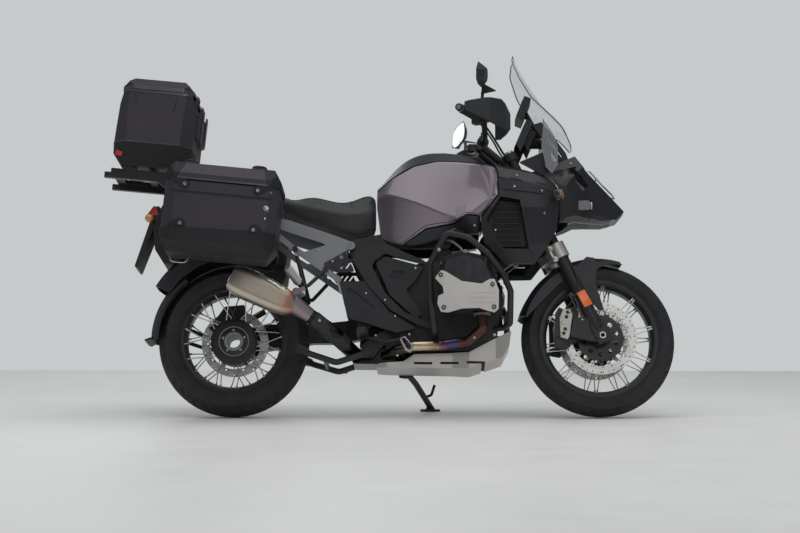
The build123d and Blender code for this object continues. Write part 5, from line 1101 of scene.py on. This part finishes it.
for side, tag in ((1, "left"), (-1, "right")):
    half = ((0, side * 20, 0), (0, side, 0))
    skin(f"{tag}_nose_shadow", "nose_fairing", "deep_plastic", (1440, 0, 930),
        [half, ((1337, 0, 994), (-0.629, 0, -0.778)), ((1507, 0, 0), (-1, 0, 0))], 1.2)
    skin(f"{tag}_nose_plate", "nose_fairing", "matte_trim", (1500, 0, 900),
        [half, ((1509, 0, 0), (1, 0, 0)), ((1509, 0, 852), (-0.245, 0, -0.97))], 1.2)

# ---- seats
FOAM_SHRINK, FOAM_SWELL, FOAM_GRAIN, CLOTH_FRAMES = 0.985, 0.006, 0.007, 20


def soft(name, node):
    """The seat's foam swollen under its cover, then held close to the solid it stands for."""
    bm = world_mesh(node)
    middle = sum((v.co for v in bm.verts), Vector()) / len(bm.verts)
    for v in bm.verts:
        v.co = middle + (v.co - middle) * FOAM_SHRINK
    mesh = bpy.data.meshes.new(name)
    bm.to_mesh(mesh)
    bm.free()
    obj = bpy.data.objects.new(name, mesh)
    scene.collection.objects.link(obj)
    remesh = obj.modifiers.new("remesh", "REMESH")
    remesh.mode = "VOXEL"
    remesh.voxel_size = FOAM_GRAIN
    start = bpy.data.meshes.new_from_object(obj.evaluated_get(bpy.context.evaluated_depsgraph_get()))
    obj.modifiers.clear()
    obj.data = start
    cloth = obj.modifiers.new("cloth", "CLOTH")
    cloth.settings.use_pressure = True
    cloth.settings.uniform_pressure_force = 4.0
    cloth.settings.effector_weights.gravity = 0.0
    cloth.point_cache.frame_end = CLOTH_FRAMES
    for n in range(1, CLOTH_FRAMES + 1):
        scene.frame_set(n)
    swollen = bpy.data.meshes.new_from_object(obj.evaluated_get(
        bpy.context.evaluated_depsgraph_get()))
    obj.modifiers.clear()
    for v, w in zip(start.vertices, swollen.vertices):
        d = w.co - v.co
        if d.length > FOAM_SWELL:
            d = d.normalized() * FOAM_SWELL
        v.co = v.co + d
    bpy.data.meshes.remove(swollen)
    scene.frame_set(1)
    mod = obj.modifiers.new("smooth", "SUBSURF")
    mod.levels = mod.render_levels = 1
    obj.data.materials.clear()
    obj.data.materials.append(M["seat_cover"])
    obj.data.shade_smooth()
    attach(obj, "chassis")
    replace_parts(obj, node)
    return BVHTree.FromObject(obj, bpy.context.evaluated_depsgraph_get())


rider_tree = soft("rider_cushion", "rider_seat")
pillion_tree = soft("pillion_cushion", "pillion_seat")
bm = bmesh.new()
down = (UPRIGHT.to_3x3() @ Vector((0, 0, -1))).normalized()
upright_back = UPRIGHT.inverted()


def stitched(tree, points):
    """A seam laid on a seat from above."""
    line = []
    for p in smooth_line([mm(x, y, 0) for x, y in points], 8):
        hit, n, _, _ = tree.ray_cast(UPRIGHT @ Vector((p.x, p.y, 1.4)), down)
        if hit is not None:
            line.append(upright_back @ (hit + n * 0.0002))
    if len(line) > 3:
        add_tube(bm, line, 1.5, 6)


for side in SIDES:
    stitched(rider_tree, [(208, side * 78), (300, side * 92), (412, side * 92), (490, side * 82),
        (548, side * 60), (584, side * 46)])
    stitched(pillion_tree, [(-168, side * 82), (-60, side * 92), (60, side * 92), (178, side * 76)])
stitched(rider_tree, [(246, -112), (262, -50), (266, 0), (262, 50), (246, 112)])
stitched(rider_tree, [(500, -112), (486, -50), (482, 0), (486, 50), (500, 112)])
stitched(pillion_tree, [(120, -108), (132, -50), (136, 0), (132, 50), (120, 108)])
piece("seat_seams", bm, "soft_grip", "chassis", UPRIGHT, 60)

# ---- cockpit and lamps
bm = bmesh.new()
edge = [(58, 1150), (104, 1200), (166, 1262), (186, 1340), (168, 1430), (128, 1516), (70, 1552)]
edge = edge + [(-y, z) for y, z in reversed(edge)]
profile = [(1188, 1546), (1206, 1500), (1251, 1422), (1307, 1338), (1384, 1258), (1410, 1226),
    (1432, 1160)]


def screen_x(y, z):
    """How far forward the windscreen's back is at (y, z)."""
    back = 62 * (y / 200.0) ** 2
    for (x0, z0), (x1, z1) in zip(profile, profile[1:]):
        if z1 <= z <= z0:
            return x0 + (x1 - x0) * (z0 - z) / (z0 - z1) - back - 2
    return (profile[0][0] if z > profile[0][1] else profile[-1][0]) - back - 2


line = []
for a, b in zip(edge, edge[1:] + edge[:1]):
    for k in range(8):
        t = k / 8
        y, z = a[0] + (b[0] - a[0]) * t, a[1] + (b[1] - a[1]) * t
        line.append((y * 0.99, z + (-2.5 if z > 1400 else 2.5 if z < 1200 else 0)))
points = [mm(screen_x(y, min(1545, z)), y, z) for y, z in line]
points = [(points[i - 1] + points[i] * 2 + points[(i + 1) % len(points)]) / 4 for i in range(len(points))]
add_tube(bm, points, 2.4, 8, closed=True)
piece("screen_edge", bm, "dark_glass", "chassis", UPRIGHT, 60)
bm = bmesh.new()
for side in SIDES:
    add_prism(bm, [(1303, 1238), (1345, 1168), (1361, 1116), (1359, 1041), (1338, 1008), (1316, 1031),
        (1298, 1120)], side * 194.0, side * 196.0, 0.6)
piece("deflector_tint", bm, "smoke_screen")
bm = bmesh.new()
for side in SIDES:
    add_tube(bm, [mm(x, side * 194, z) for x, z in ((1303, 1239), (1346, 1168), (1362, 1116),
        (1360, 1040), (1338, 1007), (1315, 1030), (1297, 1120))], 2.1, 6, closed=True)
    add_screw(bm, mm(1392, side * 78, 1080), (0, side, 0), 7)
    add_screw(bm, mm(1300, side * 78, 1180), (0, side, 0), 7)
piece("deflector_edges", bm, "frame_silver", "chassis", UPRIGHT, 40)

bm, keys = meshes(2)
for place, normal, wide, tall, lift in (((1222, 0, 1188), (-0.92, 0, 0.39), 212, 122, 15.2),
        ((1224, 0, 1320), (-0.93, 0, 0.37), 128, 84, 15.2)):
    n = Vector(normal).normalized()
    u = Vector((0, -1, 0))
    v = n.cross(u)
    w, h, r = wide / 2, tall / 2, 10
    outline = []
    for cx, cy, a0 in ((w - r, h - r, 0), (-w + r, h - r, 90), (-w + r, -h + r, 180),
            (w - r, -h + r, 270)):
        for k in range(5):
            a = math.radians(a0 + 22.5 * k)
            outline.append((cx + r * math.cos(a), cy + r * math.sin(a)))
    add_plate(bm, outline, 1.6, mm(*place) + n * lift * 0.001, u, v, 0.5)
    for k in range(3):
        add_plate(keys, [(-7, -2.2), (7, -2.2), (7, 2.2), (-7, 2.2)], 2.2,
            mm(*place) + n * lift * 0.001 + (u * (24 * (k - 1)) - v * (h + 4.5)) * 0.001, u, v, 0.6)
piece("display_glass", bm, "dark_glass")
piece("display_keys", keys, "soft_grip")

bm, bright, amber = meshes(3)
for side in SIDES:
    add_lathe(bm, [(13.5, -28), (16.5, -20), (22.8, -10), (23.6, 0), (20.5, 12.5), (12.5, 20.5),
        (0, 23.2)], mm(1366, side * 246, 903), (0.35, side, 0), 28)
    add_lathe(bright, [(23.2, -3), (24.3, -1.5), (24.3, 1.5), (23.2, 3)], mm(1366, side * 246, 903),
        (0.35, side, 0), 28)
    add_lathe(amber, [(0, 0.6), (7.2, 0.8), (8.8, -2), (8.8, -8), (0, -8)],
        mm(1366, side * 246, 903) + Vector((0.35, side, 0)).normalized() * 0.0215, (0.35, side, 0), 20)
    add_lathe(amber, [(13.5, -12), (17, -6), (17.8, 4), (15, 10), (8, 13.5), (0, 14.5)],
        mm(-352, side * 162, 820), (0, side, 0), 24)
    add_lathe(bright, [(4, -22), (13, -12), (17, 0), (19.2, 1.2), (19.2, -1.5), (17.2, -3)],
        mm(1506, side * 121, 879), (1, 0, 0), 28)
    add_lathe(bright, [(3, -30), (16, -18), (23.5, 0), (25.5, 1.2), (25.5, -1.5)],
        mm(1512, side * 28, 975), (0.86, 0, 0.5), 32)
piece("indicator_shells", bm, "dark_glass", "chassis", UPRIGHT, 60)
piece("lamp_bowls", bright, "polished_steel", "chassis", UPRIGHT, 50)
piece("indicator_lenses", amber, "amber_light", "chassis", UPRIGHT, 50)
skin("tail_lens", "tail_unit", "red_lens", (-250, 0, 800), [((-322, 0, 850), (-1, 0, -0.35)),
    ((0, 0, 850), (0, 0, 1)), ((0, 0, 892), (0, 0, -1))], 1.6)

# the reflector under the number plate holder
bm = bmesh.new()
u = Vector((0, 1, 0))
fall = (mm(-420, 0, 630) - mm(-358, 0, 826)).normalized()
n = u.cross(fall)
if n.x > 0:
    n = -n
v = n.cross(u)
add_plate(bm, [(-30, -10), (30, -10), (30, 10), (-30, 10)], 5, mm(-414, 0, 648) + n * 0.002, u, v, 1.2)
piece("tail_reflector", bm, "red_lens")


# ---- floor, lights and world
FLOOR_HALF, FLOOR_SHIFT = (9.0, 5.3), -1.2
bm = bmesh.new()
bmesh.ops.create_grid(bm, x_segments=8, y_segments=8, size=1.0)
for v in bm.verts:
    v.co.x *= FLOOR_HALF[0]
    v.co.y = v.co.y * FLOOR_HALF[1] + FLOOR_SHIFT
mesh = bpy.data.meshes.new("floor")
bm.to_mesh(mesh)
bm.free()
floor = bpy.data.objects.new("floor", mesh)
scene.collection.objects.link(floor)
finish("floor_paint", (0.94, 0.93, 0.91), 0.42, 0.0, 0.025, 0.7, 0.05, 60.0)
mesh.materials.append(M["floor_paint"])

# reflections see a dimmer room than the one that lights the floor
DIFFUSE_LIGHT, MIRRORED_LIGHT = 0.46, 0.19
world = bpy.data.worlds.new("studio")
scene.world = world
world.use_nodes = True
nodes, links = world.node_tree.nodes, world.node_tree.links
nodes.clear()
out = add_node(nodes, "OutputWorld")
mix = add_node(nodes, "MixShader")
light = add_node(nodes, "Background", Color=(0.93, 0.97, 1.0, 1))
wall = add_node(nodes, "Background", Color=(0.565, 0.590, 0.595, 1), Strength=1.0)
path = add_node(nodes, "LightPath")
seen = add_node(nodes, "Math", "MAXIMUM")
links.new(path.outputs["Is Camera Ray"], seen.inputs[0])
links.new(path.outputs["Is Transmission Ray"], seen.inputs[1])
strength = levels(nodes, links, path.outputs["Is Glossy Ray"], DIFFUSE_LIGHT, MIRRORED_LIGHT)
links.new(strength, light.inputs["Strength"])
links.new(seen.outputs["Value"], mix.inputs["Fac"])
links.new(light.outputs["Background"], mix.inputs[1])
links.new(wall.outputs["Background"], mix.inputs[2])
links.new(mix.outputs["Shader"], out.inputs["Surface"])


def lamp(name, place, aim, size, power):
    data = bpy.data.lights.new(name, "AREA")
    data.shape = "RECTANGLE"
    data.size, data.size_y = size
    data.energy = power
    obj = bpy.data.objects.new(name, data)
    scene.collection.objects.link(obj)
    obj.location = place
    obj.rotation_euler = (Vector(aim) - Vector(place)).to_track_quat("-Z", "Y").to_euler()


lamp("overhead", (0.2, -0.6, 4.4), (0, 0, 0.3), (6.0, 4.0), 90)
lamp("front_fill", (1.5, -5.0, 3.2), (0, 0, 0.6), (4.0, 2.2), 30)
lamp("back_fill", (-1.5, 4.6, 3.0), (0, 0, 0.6), (4.0, 2.2), 28)

scene.view_settings.view_transform = "Standard"
